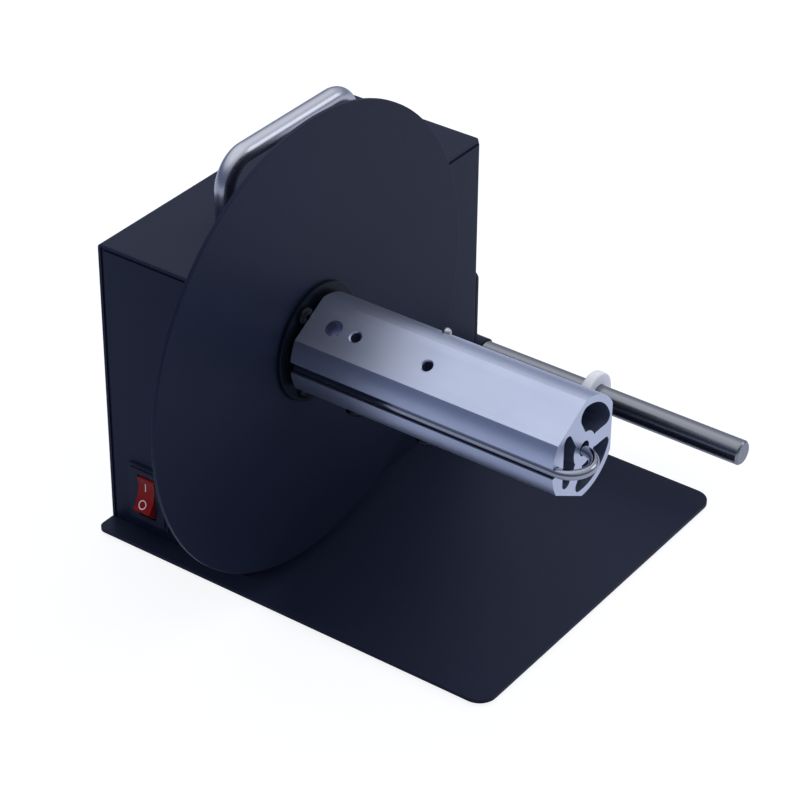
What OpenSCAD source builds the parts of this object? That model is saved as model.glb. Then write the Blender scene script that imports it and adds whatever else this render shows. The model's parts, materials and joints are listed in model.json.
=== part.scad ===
// Label rewinder: a motor in a sheet-steel cabinet turns a side disc and a hollow aluminium core.
// The label strip comes in under a tension rod on a swinging arm and winds onto the core, where
// a bent wire clamps its end. Front is -Y, up is +Z, and Z is 0 on the table.

/* [Base plate] */
// Depth of the base plate, front to back
plate_d = 228; // [210:1:260]
// Thickness of the base plate
plate_t = 2; // [1.5:0.5:4]
// Radius of the base plate's front corners
plate_r = 9; // [4:0.5:20]
// Radius of the base plate's back corners
plate_back_r = 4; // [2:0.5:12]
// Height of the rubber feet
foot_h = 1.5; // [1.3:0.1:5]
// Diameter of the rubber feet
foot_dia = 14; // [10:1:20]
// Distance of the feet's centres from the plate's edges
foot_inset = 14; // [12:1:30]

/* [Cabinet] */
// Width of the cabinet
cab_w = 188.5; // [184:0.5:220]
// Depth of the cabinet, flush with the back of the plate
cab_d = 84; // [82:1:110]
// Height of the cabinet above the plate
cab_h = 154; // [145:1:180]
// Margin of the base plate at the cabinet's left side
margin_left = 11.5; // [4:0.5:20]
// Margin of the base plate at the cabinet's right side
margin_right = 0; // [0:0.5:12]
// Sheet thickness of the chassis and the cover
sheet_t = 1.5; // [1:0.1:2]
// Outer radius of the bends
bend_r = 2.2; // [2.1:0.1:4]
// Depth of the groove between the cover and the walls
seam_d = 0.8; // [0.4:0.1:0.9]
// Distance of the cover's right edge from the right wall's outer face
cover_short = 1; // [0:0.1:2]
// Width of the turned-in flanges
lip_w = 12; // [10:0.5:16]

/* [Carry handle] */
// Diameter of the handle's bar
handle_dia = 10; // [8:0.5:12]
// Distance between the centres of the handle's legs
handle_span = 95; // [80:1:128]
// Height of the handle above the cover
handle_h = 38; // [30:1:50]
// Bend radius of the handle's centre line
handle_bend = 15; // [10:0.5:18]
// Distance from the cabinet's back to the handle
handle_back = 38; // [25:1:50]

/* [Side disc and hub] */
// Distance from the cabinet's left side to the spindle
spindle_in = 33.5; // [32:0.5:60]
// Distance from the cabinet's top down to the spindle
spindle_down = 32; // [30:0.5:36]
// Diameter of the side disc
disc_dia = 228; // [180:1:235]
// Thickness of the side disc
disc_t = 2; // [1.5:0.5:3]
// Gap between the side disc and the cabinet
disc_gap = 14; // [13:0.5:20]
// Diameter of the clamp flange in front of the disc
clamp_dia = 58; // [56:1:70]
// Thickness of the clamp flange
clamp_t = 2; // [1.5:0.5:4]
// Diameter of the hub behind the disc
hub_dia = 76; // [60:1:90]
// Thickness of the hub's flange
hub_t = 5; // [4:0.5:6]
// Radius of the circle of the flange screws
flange_screw_ring = 22.5; // [21:0.5:24]

/* [Core] */
// Length of the core
core_len = 141; // [80:1:160]
// Radius of the core's rounded lobes
core_r = 25; // [24:0.1:27]
// Distance from the axis to the core's three flats
core_flat = 21.8; // [20.5:0.1:22]
// Gap between the clamp flange and the core
core_gap = 2.8; // [2.7:0.1:6]
// Radius of the core's central bore
core_bore = 3.7; // [3.7:0.05:4.5]
// Radius of the middle boss between the core's cavities
boss_r = 8.3; // [7:0.1:8.5]
// Thickness of the wall outside the round cavities
core_wall = 3.6; // [3.5:0.1:5]
// Half the thickness of the webs to the flats
web_half = 3.6; // [2.8:0.1:4]
// Half the thickness of the set screw's web, towards the upper cavity
set_web = 4.4; // [3:0.1:4.8]
// Radius of the cavities' outer corners
cavity_corner = 3.2; // [2:0.1:4]
// Radius of the upper cavity's corner beside the set screw's web
set_corner = 4.8; // [3:0.1:5]
// Radius of the corners behind the wire's groove
groove_corner = 3; // [2:0.1:4]
// Thickness of the wall behind the wire's groove
groove_wall = 3.1; // [3:0.1:4]
// Distance from the core's root to the set screw's hole
set_hole_at = 14; // [10:0.5:18]
// Radius of the set screw's access hole
set_hole_r = 4.2; // [3.8:0.1:4.5]
// Distances from the core's root to the two grip screw holes
grip_at = [26, 65];
// Distance from the core's root to the grip stud
stud_at = 59; // [40:0.5:60]

/* [Retaining wire] */
// Diameter of the retaining wire
wire_dia = 4.7; // [4:0.1:4.8]
// Distance from the axis to the wire in its groove
wire_off = 22.4; // [22:0.1:22.5]
// Distance from the axis to the wire's hook in the bore
wire_in = 1.1; // [0.5:0.1:1.1]
// Distance that the bend stands out past the core
wire_reach = 13; // [12.5:0.5:20]
// Length of the wire's hook inside the core
wire_hook = 32; // [20:1:50]

/* [Tension arm] */
// Distance of the rod's axis from the cabinet's right side
rod_out = 10; // [9.8:0.1:14]
// Height of the rod's axis above the base plate
rod_up = 24; // [22:0.5:40]
// Diameter of the tension rod
rod_dia = 13; // [8:0.5:13.5]
// Length of the tension rod
rod_len = 154; // [100:1:170]
// Length of the arm between its pivot and the rod
arm_len = 64; // [62:1:70]
// Angle of the arm below level at rest
arm_drop = 43; // [40:1:45]
// Travel of the arm upwards
arm_swing = 32; // [20:1:33]
// Half the width of the arm
arm_half = 7.5; // [7:0.1:7.6]
// Thickness of the arm
arm_t = 5; // [4:0.5:6]
// Diameter of the guide collar
collar_dia = 25.5; // [20:0.5:30]
// Width of the guide collar
collar_w = 5.5; // [4:0.5:10]
// Distance from the rod's root to the collar
collar_at = 64; // [20:1:120]
// Thickness of the guard plate
guard_t = 2; // [1.5:0.1:2.2]

/* [Switches] */
// Distance from the cabinet's back to the power switch
switch_back = 24.5; // [21:0.5:30]
// Height of the power switch above the base plate
switch_up = 22; // [20:0.5:60]
// Width and height of the power switch's bezel
switch_bezel_size = [24, 32];
// Width of the power switch's rocker
switch_rocker_w = 10; // [9:0.1:14]
// Radius of the power switch's rocker about its pivot
switch_rocker_r = 11.5; // [10:0.1:12]
// Width and height of the direction switch's bezel
direction_bezel_size = [15, 21];
// Width of the direction switch's rocker
direction_rocker_w = 8.6; // [7:0.1:9]
// Radius of the direction switch's rocker about its pivot
direction_rocker_r = 7.8; // [7:0.1:8]
// Tilt of a rocker either way
rocker_tilt = 15; // [8:1:15]
// Height of the controls on the back above the base plate
controls_up = 33; // [28:1:60]
// Diameter of the speed knob
knob_dia = 20; // [14:1:26]
// Height of the speed knob
knob_h = 13; // [12:0.5:18]

/* [Hidden] */
$fn = 64;
// Running clearance of shafts in bores
run_gap = 0.05;
// Clearance of parts that are pressed or screwed together
fit_gap = 0.03;
// Clearance of screws in plain holes
hole_gap = 0.3;
// Clearance between parts that move past each other
move_gap = 0.3;

base_z = foot_h + plate_t;
plate_w = margin_left + cab_w + margin_right;
cab_x0 = -plate_w / 2 + margin_left;
cab_x1 = cab_x0 + cab_w;
cab_y1 = plate_d / 2;
cab_y0 = cab_y1 - cab_d;
cab_z1 = base_z + cab_h;
cab_cx = (cab_x0 + cab_x1) / 2;
lip_z1 = cab_z1 - sheet_t;
lip_y1 = cab_y1 - sheet_t;
wall_z1 = lip_z1 - sheet_t;
wall_y1 = lip_y1 - sheet_t;
handle_bore = 14;
inner_y0 = cab_y0 + sheet_t;

// Screw sizes: [diameter, head diameter, head height]
m3 = [3, 5.8, 1.8];
m4 = [4, 7.4, 2.2];
m5 = [5, 9, 2.5];
base_screw = [4, 7.4, 1];
set_screw_d = 6;
screw_past = 2;
grip_screw = [5, 8, 3.5];
grip_sink = 0.6;
stud_dia = 4.5;
stud_dome = 2.5;
grip_screw_len = 10;

// Spindle line: places along Y, from the cabinet's front wall outwards and inwards
spindle_x = cab_x0 + spindle_in;
spindle_z = cab_z1 - spindle_down;
disc_y1 = cab_y0 - disc_gap;
disc_y0 = disc_y1 - disc_t;
clamp_y0 = disc_y0 - clamp_t;
core_y1 = clamp_y0 - core_gap;
core_y0 = core_y1 - core_len;
hub_boss_r = 15;
hub_wall_gap = 0.8;
hub_boss_y1 = cab_y0 - hub_wall_gap;
shaft_r = 6;
shaft_collar_r = 9;
spigot_r = core_bore - run_gap;
spigot_len = 54;
flat_angles = [0, 120, 240];

// Ball bearing and its housing
bearing_r = 14;
bearing_w = 8;
ball_r = 1.98;
ball_ring = (shaft_r + bearing_r) / 2;
ball_count = 9;
race_half = 1.5;
housing_lip_t = 4;
housing_lip_r = 25;
housing_r = 17.5;
housing_step = 0.5;
housing_screw_ring = 21;
bearing_y0 = inner_y0 + housing_lip_t + housing_step;
bearing_y1 = bearing_y0 + bearing_w;

// Gear motor
motor_gap = 12;
motor_plate_t = 2;
motor_plate_y0 = bearing_y1 + motor_gap;
gearbox_y0 = motor_plate_y0 + motor_plate_t;
gearbox_r = 18.5;
gearbox_len = 20;
gearbox_nose_r = 6;
gearbox_screw_ring = 14.5;
gearbox_thread = 6;
motor_r = 17.9;
motor_len = 24;
motor_shaft_r = 3;
motor_shaft_in = 10;
motor_shaft_y1 = gearbox_y0 + motor_shaft_in;
motor_plate_half = 26;
post_off = 22;
post_af = 8;
post_thread = 10;
shaft_end_gap = 2;
shaft_y1 = motor_plate_y0 - shaft_end_gap;
coupling_len = 15;

// Tension arm, with its pivot inside the cabinet
arm_in = 8.5;
rod_in = 1;
arm_boss_len = 3.2;
rod_x = cab_x1 + rod_out;
rod_z = base_z + rod_up;
rod_r = rod_dia / 2;
rod_tip = 1;
pivot_x = rod_x - arm_len * cos(arm_drop);
pivot_z = rod_z + arm_len * sin(arm_drop);
arm_y0 = cab_y0 + arm_in;
arm_y1 = arm_y0 + arm_t;
rod_y1 = cab_y0 + rod_in;
rod_y0 = rod_y1 - rod_len;
rod_hole_depth = 18;
pivot_r = 4;
bush_lip_t = 1;
bush_r = 6;
bush_lip_r = 8.5;
bracket_t = 2;
bracket_half = 17;
bracket_gap = 22;
bracket_y0 = arm_y1 + arm_boss_len + bush_lip_t + move_gap;
bracket_y1 = bracket_y0 + bracket_gap + 2 * bracket_t;
arm_boss_r = 9;
arm_boss_y1 = arm_y1 + arm_boss_len;
clip_t = 1.2;
flag_y0 = bracket_y1 + bush_lip_t + move_gap;
flag_hub_len = 6;
flag_hub_r = 7;
flag_t = 1.5;
flag_r = 23;
flag_vane_y0 = flag_y0 + (flag_hub_len - flag_t) / 2;
sensor_slot = 3.5;
sensor_prong = 3;
sensor_half = 5;
sensor_reach = 12;
pivot_end = 1;
pivot_y0 = arm_y0 - clip_t - pivot_end;
pivot_y1 = flag_y0 + flag_hub_len + pivot_end;
slot_side_gap = 1.2;
wall_slot_gap = 0.8;
guard_r = 4;
guard_front = 0.6;
guard_rim = 11;
guard_low = 8;
guard_top = 7.5;
guard_y0 = cab_y0 + guard_front;
guard_y1 = arm_y1 + slot_side_gap + guard_rim;
guard_screw_y = guard_y1 - guard_rim * 0.4;
arm_stop_gap = 0.4;
slot_x0 = cab_x1 - sheet_t;
slot_x1 = cab_x1 + guard_t;
slot_z0 = pivot_z - (slot_x1 - pivot_x) * tan(arm_drop) - arm_half / cos(arm_drop) - arm_stop_gap;
arm_top = arm_drop - arm_swing;
slot_z1 = pivot_z - (slot_x0 - pivot_x) * tan(arm_top) + arm_half / cos(arm_top) + arm_stop_gap;
guard_z0 = slot_z0 - guard_low;
guard_z1 = slot_z1 + guard_top;

// Rocker switches; a rocker's dip and dish are shares of its radius
switch_y = cab_y1 - switch_back;
switch_z = base_z + switch_up;
bezel_t = 2.2;
bezel_slope = 1.6;
rocker_pivot = -3;
rocker_dip = 0.52;
rocker_dish = 1.44;
rocker_skirt = 3;
trunnion_r = 1.5;
trunnion_len = 1.2;
switch_wall = 2.4;
switch_depth = 17;
pocket_depth = 10;
tab_size = [4.8, 0.8, 7];

// Controls on the back
controls_z = base_z + controls_up;
controls_at = [-60, -22, 14];
inlet_x = cab_cx + controls_at[0];
direction_x = cab_cx + controls_at[1];
pot_x = cab_cx + controls_at[2];
pot_r = 8;
pot_depth = 9;
bushing_r = 3.4;
bushing_out = 3.5;
pot_nut_h = 2;
pot_shaft_r = 3;
knob_gap = 0.6;
inlet_r = 5.2;
inlet_lip_r = 6.8;
inlet_lip_t = 1.5;
inlet_depth = 14;
inlet_socket_r = 2.9;
inlet_socket_depth = 9;
inlet_pin_r = 1;

// Control board on the base plate
board_size = [70, 42, 1.6];
board_up = 6;
board_in = [33, 14];
board_x0 = cab_x0 + board_in.x;
board_y0 = inner_y0 + board_in.y;
board_hole_in = 4;
board_post_r = 3;

coat = [0.17, 0.19, 0.26];
black = [0.07, 0.07, 0.08];
steel = [0.72, 0.73, 0.75];
satin_aluminium = [0.78, 0.80, 0.85];
nylon = [0.93, 0.93, 0.94];
bronze = [0.72, 0.55, 0.32];
signal_red = [0.70, 0.10, 0.08];
board_green = [0.12, 0.35, 0.20];

// Round bar along Y from y0 to y1
module rod_y(y0, y1, r) {
    translate([0, y0, 0]) rotate([-90, 0, 0]) cylinder(h = y1 - y0, r = r);
}

// Flat outline in X and Z, made solid along Y from y0 to y1
module plate_y(y0, y1) {
    translate([0, y1, 0]) rotate([90, 0, 0]) linear_extrude(y1 - y0) children();
}

// Flat outline in Y and Z, made solid along X from x0 to x1
module plate_x(x0, x1) {
    translate([x0, 0, 0]) rotate([90, 0, 90]) linear_extrude(x1 - x0) children();
}

// Rectangle with its lower left corner at the origin and four round corners
module round_rect(w, h, r) {
    translate([r, 0]) square([w - 2 * r, h]);
    translate([0, r]) square([w, h - 2 * r]);
    for (x = [r, w - r], y = [r, h - r]) translate([x, y]) circle(r);
}

// Straight bar with round ends, from the origin along X
module link_outline(length, r) {
    translate([0, -r]) square([length, 2 * r]);
    for (x = [0, length]) translate([x, 0]) circle(r);
}

// Local frames on the cabinet's outer faces: X along the face, Y up, Z outwards
module on_left(y, z) { translate([cab_x0, y, z]) rotate([90, 0, -90]) children(); }
module on_right(y, z) { translate([cab_x1, y, z]) rotate([90, 0, 90]) children(); }
module on_back(x, z) { translate([x, cab_y1, z]) rotate([90, 0, 180]) children(); }
module on_front(x, z) { translate([x, cab_y0, z]) rotate([90, 0, 0]) children(); }
module at_spindle() { translate([spindle_x, 0, spindle_z]) children(); }
module at_pivot() { translate([pivot_x, 0, pivot_z]) children(); }

// Hole through a sheet whose outer face is at Z 0
module sheet_hole(d) { translate([0, 0, -2 * sheet_t]) cylinder(h = 3 * sheet_t, d = d); }

// Screw along Z with its head above Z 0 and a hexagon socket
module screw(size, length) {
    rim_h = size[2] * 0.6;
    difference() {
        union() {
            cylinder(h = rim_h, d = size[1]);
            translate([0, 0, rim_h]) cylinder(h = size[2] - rim_h, d1 = size[1], d2 = size[1] * 0.72);
            translate([0, 0, -length]) cylinder(h = length, d = size[0]);
        }
        translate([0, 0, size[2] * 0.4]) cylinder(h = size[2], d = size[0] * 0.6, $fn = 6);
    }
}

// Headless screw along Z from z0 to z1, with a hexagon socket at its outer end
module grub_screw(z0, z1, d) {
    difference() {
        translate([0, 0, z0]) cylinder(h = z1 - z0, d = d);
        translate([0, 0, z1 - d * 0.45]) cylinder(h = d, d = d * 0.58, $fn = 6);
    }
}

// Places of the fasteners
module each_foot() {
    for (x = [-1, 1], y = [-1, 1]) {
        translate([x * (plate_w / 2 - foot_inset), y * (plate_d / 2 - foot_inset), 0]) children();
    }
}
module each_base_screw() {
    side_in = sheet_t + lip_w / 2;
    side_y = [cab_y0 + cab_d * 0.36, cab_y1 - foot_inset - foot_dia];
    for (x = [cab_x0 + side_in, cab_x1 - side_in], y = side_y) translate([x, y, 0]) children();
    for (x = [cab_cx - cab_w / 5, cab_cx + cab_w / 5]) translate([x, cab_y0 + side_in, 0]) children();
}
module each_bracket_screw() {
    for (x = [-1, 1]) {
        translate([pivot_x + x * bracket_half / 2, (bracket_y0 + bracket_y1) / 2, 0]) children();
    }
}
module each_cover_screw() {
    side_in = seam_d + lip_w / 2;
    for (x = [cab_x0 + side_in, cab_x1 - side_in], z = [0.12, 0.5, 0.88]) {
        on_back(x, base_z + z * cab_h) children();
    }
}
module each_handle_leg() {
    for (x = [-1, 1]) translate([cab_cx + x * handle_span / 2, cab_y1 - handle_back, cab_z1]) children();
}
module each_guard_screw() {
    for (z = [guard_z0 + guard_r, (guard_z0 + guard_z1) / 2, guard_z1 - guard_r]) {
        on_right(guard_screw_y, z) children();
    }
}
module each_housing_screw() {
    for (a = [0, 90, 180, 270]) {
        on_front(spindle_x + housing_screw_ring * cos(a), spindle_z + housing_screw_ring * sin(a)) children();
    }
}
module each_post() {
    at_spindle() for (x = [-1, 1], z = [-1, 1]) translate([x * post_off, 0, z * post_off]) children();
}
module each_gearbox_screw() {
    at_spindle() for (a = [45, 135, 225, 315]) {
        translate([gearbox_screw_ring * cos(a), 0, gearbox_screw_ring * sin(a)]) children();
    }
}
module each_flange_screw() {
    at_spindle() for (a = flat_angles) {
        translate([flange_screw_ring * cos(a), 0, flange_screw_ring * sin(a)]) children();
    }
}
module each_board_post() {
    far = board_size - [board_hole_in, board_hole_in, 0];
    for (x = [board_hole_in, far.x], y = [board_hole_in, far.y]) {
        translate([board_x0 + x, board_y0 + y, 0]) children();
    }
}

// Base

module base_plate() {
    color(coat) difference() {
        translate([-plate_w / 2, -plate_d / 2, foot_h]) linear_extrude(plate_t) {
            round_rect(plate_w, plate_d * 0.6, plate_r);
            translate([0, plate_d * 0.4]) round_rect(plate_w, plate_d * 0.6, plate_back_r);
        }
        each_base_screw() cylinder(h = base_z + 1, d = base_screw[0] + 2 * hole_gap);
        each_bracket_screw() cylinder(h = base_z + 1, d = base_screw[0] + 2 * hole_gap);
    }
}

module rubber_feet() {
    color(black) each_foot() cylinder(h = foot_h, d = foot_dia);
}

module base_screws() {
    color(steel) each_base_screw() translate([0, 0, foot_h]) rotate([180, 0, 0]) {
        screw(base_screw, plate_t + sheet_t + screw_past);
    }
}

// Cabinet

// Plan of the three walls, open at the back
module wall_plan() {
    difference() {
        translate([cab_x0, cab_y0]) round_rect(cab_w, cab_d, bend_r);
        translate([cab_x0 + sheet_t, cab_y0 + sheet_t]) {
            round_rect(cab_w - 2 * sheet_t, cab_d, bend_r - sheet_t);
        }
        translate([cab_x0 - 1, wall_y1]) square([cab_w + 2, cab_d]);
    }
}

// Plan of a flange round three sides, starting at a given inset from the outer faces
module lip_plan(inset, width) {
    difference() {
        translate([cab_x0 + inset, cab_y0 + inset]) square([cab_w - 2 * inset, wall_y1 - cab_y0 - inset]);
        translate([cab_x0 + inset + width, cab_y0 + inset + width]) {
            square([cab_w - 2 * inset - 2 * width, cab_d]);
        }
    }
}

module chassis() {
    color(coat) difference() {
        union() {
            translate([0, 0, base_z]) linear_extrude(wall_z1 - base_z) wall_plan();
            translate([0, 0, base_z]) linear_extrude(sheet_t) lip_plan(sheet_t / 2, lip_w + sheet_t / 2);
            translate([0, 0, wall_z1]) linear_extrude(sheet_t) lip_plan(seam_d, lip_w);
            for (x = [cab_x0 + seam_d, cab_x1 - seam_d - lip_w]) {
                translate([x, wall_y1, base_z]) cube([lip_w, sheet_t, lip_z1 - base_z]);
            }
        }
        each_base_screw() cylinder(h = base_z + 2 * sheet_t, d = base_screw[0] + 2 * fit_gap);
        each_cover_screw() translate([0, 0, -3 * sheet_t]) cylinder(h = 4 * sheet_t, d = m3[0] + 2 * fit_gap);
        at_spindle() rod_y(cab_y0 - 1, inner_y0 + 1, shaft_collar_r);
        each_housing_screw() sheet_hole(m4[0] + 2 * hole_gap);
        each_post() rod_y(cab_y0 - 1, inner_y0 + 1, m4[0] / 2 + hole_gap);
        on_left(switch_y, switch_z) switch_cutout(switch_rocker_w, switch_rocker_r);
        plate_x(cab_x1 - 2 * sheet_t, cab_x1 + 1) {
            arm_slot_outline(slot_side_gap + wall_slot_gap, wall_slot_gap);
        }
        each_guard_screw() sheet_hole(m3[0] + 2 * fit_gap);
    }
}

// Outline of the slot that the arm swings in, widened by the given gaps
module arm_slot_outline(side_gap, end_gap) {
    translate([arm_y0 - side_gap, slot_z0 - end_gap]) {
        square([arm_t + 2 * side_gap, slot_z1 - slot_z0 + 2 * end_gap]);
    }
}

module rear_cover() {
    back_z0 = base_z + move_gap;
    color(coat) difference() {
        intersection() {
            plate_x(cab_x0, cab_x1 - cover_short) difference() {
                translate([cab_y0 - cab_d, back_z0 - cab_h]) {
                    round_rect(2 * cab_d, cab_z1 - back_z0 + cab_h, bend_r);
                }
                translate([cab_y0 - 2 * cab_d, back_z0 - 2 * cab_h]) {
                    round_rect(lip_y1 - cab_y0 + 2 * cab_d, lip_z1 - back_z0 + 2 * cab_h, bend_r - sheet_t);
                }
            }
            translate([0, 0, back_z0]) linear_extrude(cab_h) translate([cab_x0, cab_y0]) {
                round_rect(cab_w - cover_short, 2 * cab_d, bend_r);
            }
        }
        each_cover_screw() sheet_hole(m3[0] + 2 * hole_gap);
        each_handle_leg() sheet_hole(m5[0] + 2 * hole_gap);
        on_back(direction_x, controls_z) switch_cutout(direction_rocker_w, direction_rocker_r);
        on_back(pot_x, controls_z) sheet_hole(2 * (bushing_r + hole_gap));
        on_back(inlet_x, controls_z) sheet_hole(2 * (inlet_r + hole_gap));
    }
}

module cover_screws() {
    color(steel) each_cover_screw() screw(m3, 2 * sheet_t + screw_past);
}

module carry_handle() {
    r = handle_dia / 2;
    leg_h = handle_h - r - handle_bend;
    color(steel) {
        each_handle_leg() difference() {
            cylinder(h = leg_h, r = r);
            translate([0, 0, -1]) cylinder(h = handle_bore + 1, d = m5[0] + 2 * fit_gap);
        }
        translate([cab_cx, cab_y1 - handle_back, cab_z1 + leg_h]) {
            for (side = [0, 180]) rotate([0, 0, side]) {
                translate([handle_span / 2 - handle_bend, 0, 0]) rotate([90, 0, 0]) {
                    rotate_extrude(angle = 90) translate([handle_bend, 0]) circle(r);
                }
            }
            translate([-handle_span / 2 + handle_bend, 0, handle_bend]) rotate([0, 90, 0]) {
                cylinder(h = handle_span - 2 * handle_bend, r = r);
            }
        }
    }
}

module handle_screws() {
    color(steel) each_handle_leg() translate([0, 0, -sheet_t]) rotate([180, 0, 0]) {
        screw(m5, sheet_t + handle_bore - screw_past);
    }
}

// Rocker switches: X along the pivot, Y up, Z outwards from the panel

module switch_cutout(rocker_w, rocker_r) {
    w = rocker_w + 2 * move_gap + 2 * switch_wall + 2 * fit_gap;
    h = 2 * (rocker_r + move_gap + switch_wall + fit_gap);
    translate([-w / 2, -h / 2, -2 * sheet_t]) cube([w, h, 3 * sheet_t]);
}

module switch_shell(bezel_size, rocker_w, rocker_r) {
    pocket_w = rocker_w + 2 * move_gap;
    pocket_h = 2 * (rocker_r + move_gap);
    body_w = pocket_w + 2 * switch_wall;
    body_h = pocket_h + 2 * switch_wall;
    rim = bezel_size - 2 * [bezel_slope, bezel_slope];
    difference() {
        union() {
            translate([-bezel_size.x / 2, -bezel_size.y / 2, 0]) linear_extrude(bezel_t - bezel_slope / 2) {
                round_rect(bezel_size.x, bezel_size.y, 1.5);
            }
            translate([-rim.x / 2, -rim.y / 2, 0]) linear_extrude(bezel_t) round_rect(rim.x, rim.y, 1);
            translate([-body_w / 2, -body_h / 2, -switch_depth]) cube([body_w, body_h, switch_depth]);
            for (y = [-body_h / 4, body_h / 4]) {
                translate([-tab_size.x / 2, y - tab_size.y / 2, -switch_depth - tab_size.z]) {
                    cube([tab_size.x, tab_size.y, tab_size.z + 1]);
                }
            }
        }
        translate([-pocket_w / 2, -pocket_h / 2, -pocket_depth]) {
            cube([pocket_w, pocket_h, pocket_depth + bezel_t + 1]);
        }
        translate([-pocket_w / 2 - trunnion_len, 0, rocker_pivot]) rotate([0, 90, 0]) {
            cylinder(h = pocket_w + 2 * trunnion_len, r = trunnion_r + run_gap);
        }
    }
}

module rocker_cap(rocker_w, rocker_r) {
    dish_r = rocker_dish * rocker_r;
    pin_w = rocker_w + 2 * trunnion_len;
    translate([0, 0, rocker_pivot]) rotate([-rocker_tilt, 0, 0]) {
        plate_x(-rocker_w / 2, rocker_w / 2) difference() {
            intersection() {
                circle(rocker_r);
                translate([-rocker_r, -rocker_skirt]) square(2 * rocker_r);
            }
            translate([0, rocker_dip * rocker_r + dish_r]) circle(dish_r);
        }
        translate([-pin_w / 2, 0, 0]) rotate([0, 90, 0]) cylinder(h = pin_w, r = trunnion_r);
    }
}

module switch_bezel() {
    color(black) on_left(switch_y, switch_z) {
        switch_shell(switch_bezel_size, switch_rocker_w, switch_rocker_r);
    }
}

module power_rocker() {
    color(signal_red) on_left(switch_y, switch_z) rocker_cap(switch_rocker_w, switch_rocker_r);
}

module direction_bezel() {
    color(black) on_back(direction_x, controls_z) {
        switch_shell(direction_bezel_size, direction_rocker_w, direction_rocker_r);
    }
}

module direction_rocker() {
    color(black) on_back(direction_x, controls_z) rocker_cap(direction_rocker_w, direction_rocker_r);
}

// Controls on the back

module dc_inlet() {
    color(black) on_back(inlet_x, controls_z) {
        difference() {
            union() {
                cylinder(h = inlet_lip_t, r = inlet_lip_r);
                translate([0, 0, -inlet_depth]) cylinder(h = inlet_depth + inlet_lip_t, r = inlet_r);
            }
            translate([0, 0, inlet_lip_t - inlet_socket_depth]) {
                cylinder(h = inlet_socket_depth + 1, r = inlet_socket_r);
            }
        }
        translate([0, 0, -inlet_depth]) cylinder(h = inlet_depth, r = inlet_pin_r);
    }
}

module speed_pot() {
    color(steel) on_back(pot_x, controls_z) difference() {
        union() {
            translate([0, 0, -sheet_t - pot_depth]) cylinder(h = pot_depth, r = pot_r);
            translate([0, 0, -sheet_t - 1]) cylinder(h = sheet_t + bushing_out + 1, r = bushing_r);
        }
        translate([0, 0, -sheet_t - pot_depth / 2]) {
            cylinder(h = pot_depth + sheet_t + bushing_out, r = pot_shaft_r + run_gap);
        }
    }
}

module pot_nut() {
    color(steel) on_back(pot_x, controls_z) difference() {
        cylinder(h = pot_nut_h, r = bushing_r * 1.7, $fn = 6);
        translate([0, 0, -1]) cylinder(h = pot_nut_h + 2, r = bushing_r + fit_gap);
    }
}

module pot_shaft() {
    inside = sheet_t + pot_depth / 2 - move_gap;
    color(steel) on_back(pot_x, controls_z) translate([0, 0, -inside]) {
        cylinder(h = inside + bushing_out + knob_gap + knob_h * 0.7, r = pot_shaft_r);
    }
}

module speed_knob() {
    flutes = 18;
    color(black) on_back(pot_x, controls_z) translate([0, 0, bushing_out + knob_gap]) difference() {
        union() {
            cylinder(h = knob_h * 0.2, d = knob_dia);
            cylinder(h = knob_h, d1 = knob_dia * 0.92, d2 = knob_dia * 0.82);
        }
        for (i = [0 : flutes - 1]) rotate([0, 0, i * 360 / flutes]) {
            translate([knob_dia * 0.47, 0, knob_h * 0.2]) cylinder(h = knob_h, d = knob_dia * 0.09);
        }
        translate([0, 0, -1]) cylinder(h = 1 + knob_h * 0.7 + move_gap, r = pot_shaft_r + fit_gap);
        translate([-0.5, knob_dia * 0.12, knob_h - 0.6]) cube([1, knob_dia * 0.3, 1]);
    }
}

// Bearing and gear motor

module bearing_housing() {
    color(steel) difference() {
        at_spindle() difference() {
            union() {
                rod_y(inner_y0, inner_y0 + housing_lip_t, housing_lip_r);
                rod_y(inner_y0, bearing_y1, housing_r);
            }
            rod_y(inner_y0 - 1, bearing_y1 + 1, bearing_r - 2);
            rod_y(bearing_y0, bearing_y1 + 1, bearing_r + fit_gap);
        }
        each_housing_screw() translate([0, 0, -sheet_t - housing_lip_t - 1]) {
            cylinder(h = housing_lip_t + 2, d = m4[0] + 2 * fit_gap);
        }
    }
}

module housing_screws() {
    color(steel) each_housing_screw() screw(m4, sheet_t + housing_lip_t);
}

// Ring of a ball bearing between two radii, with its ball groove
module bearing_race(r_in, r_out) {
    at_spindle() translate([0, bearing_y0, 0]) rotate([-90, 0, 0]) rotate_extrude() difference() {
        translate([r_in, 0]) square([r_out - r_in, bearing_w]);
        translate([ball_ring, bearing_w / 2]) circle(ball_r + run_gap);
    }
}

module bearing_outer() {
    color(steel) bearing_race(ball_ring + race_half, bearing_r);
}

module bearing_inner() {
    color(steel) bearing_race(shaft_r + fit_gap, ball_ring - race_half);
}

module bearing_balls() {
    color(steel) at_spindle() for (i = [0 : ball_count - 1]) rotate([0, i * 360 / ball_count, 0]) {
        translate([ball_ring, bearing_y0 + bearing_w / 2, 0]) sphere(ball_r);
    }
}

module motor_posts() {
    color(steel) each_post() difference() {
        translate([0, inner_y0, 0]) rotate([-90, 0, 0]) {
            cylinder(h = motor_plate_y0 - inner_y0, d = post_af / cos(30), $fn = 6);
        }
        rod_y(inner_y0 - 1, motor_plate_y0 + 1, m4[0] / 2 + fit_gap);
    }
}

module post_screws() {
    color(steel) each_post() {
        translate([0, cab_y0, 0]) rotate([90, 0, 0]) screw(m4, post_thread);
        translate([0, gearbox_y0, 0]) rotate([-90, 0, 0]) screw(m4, post_thread);
    }
}

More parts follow.
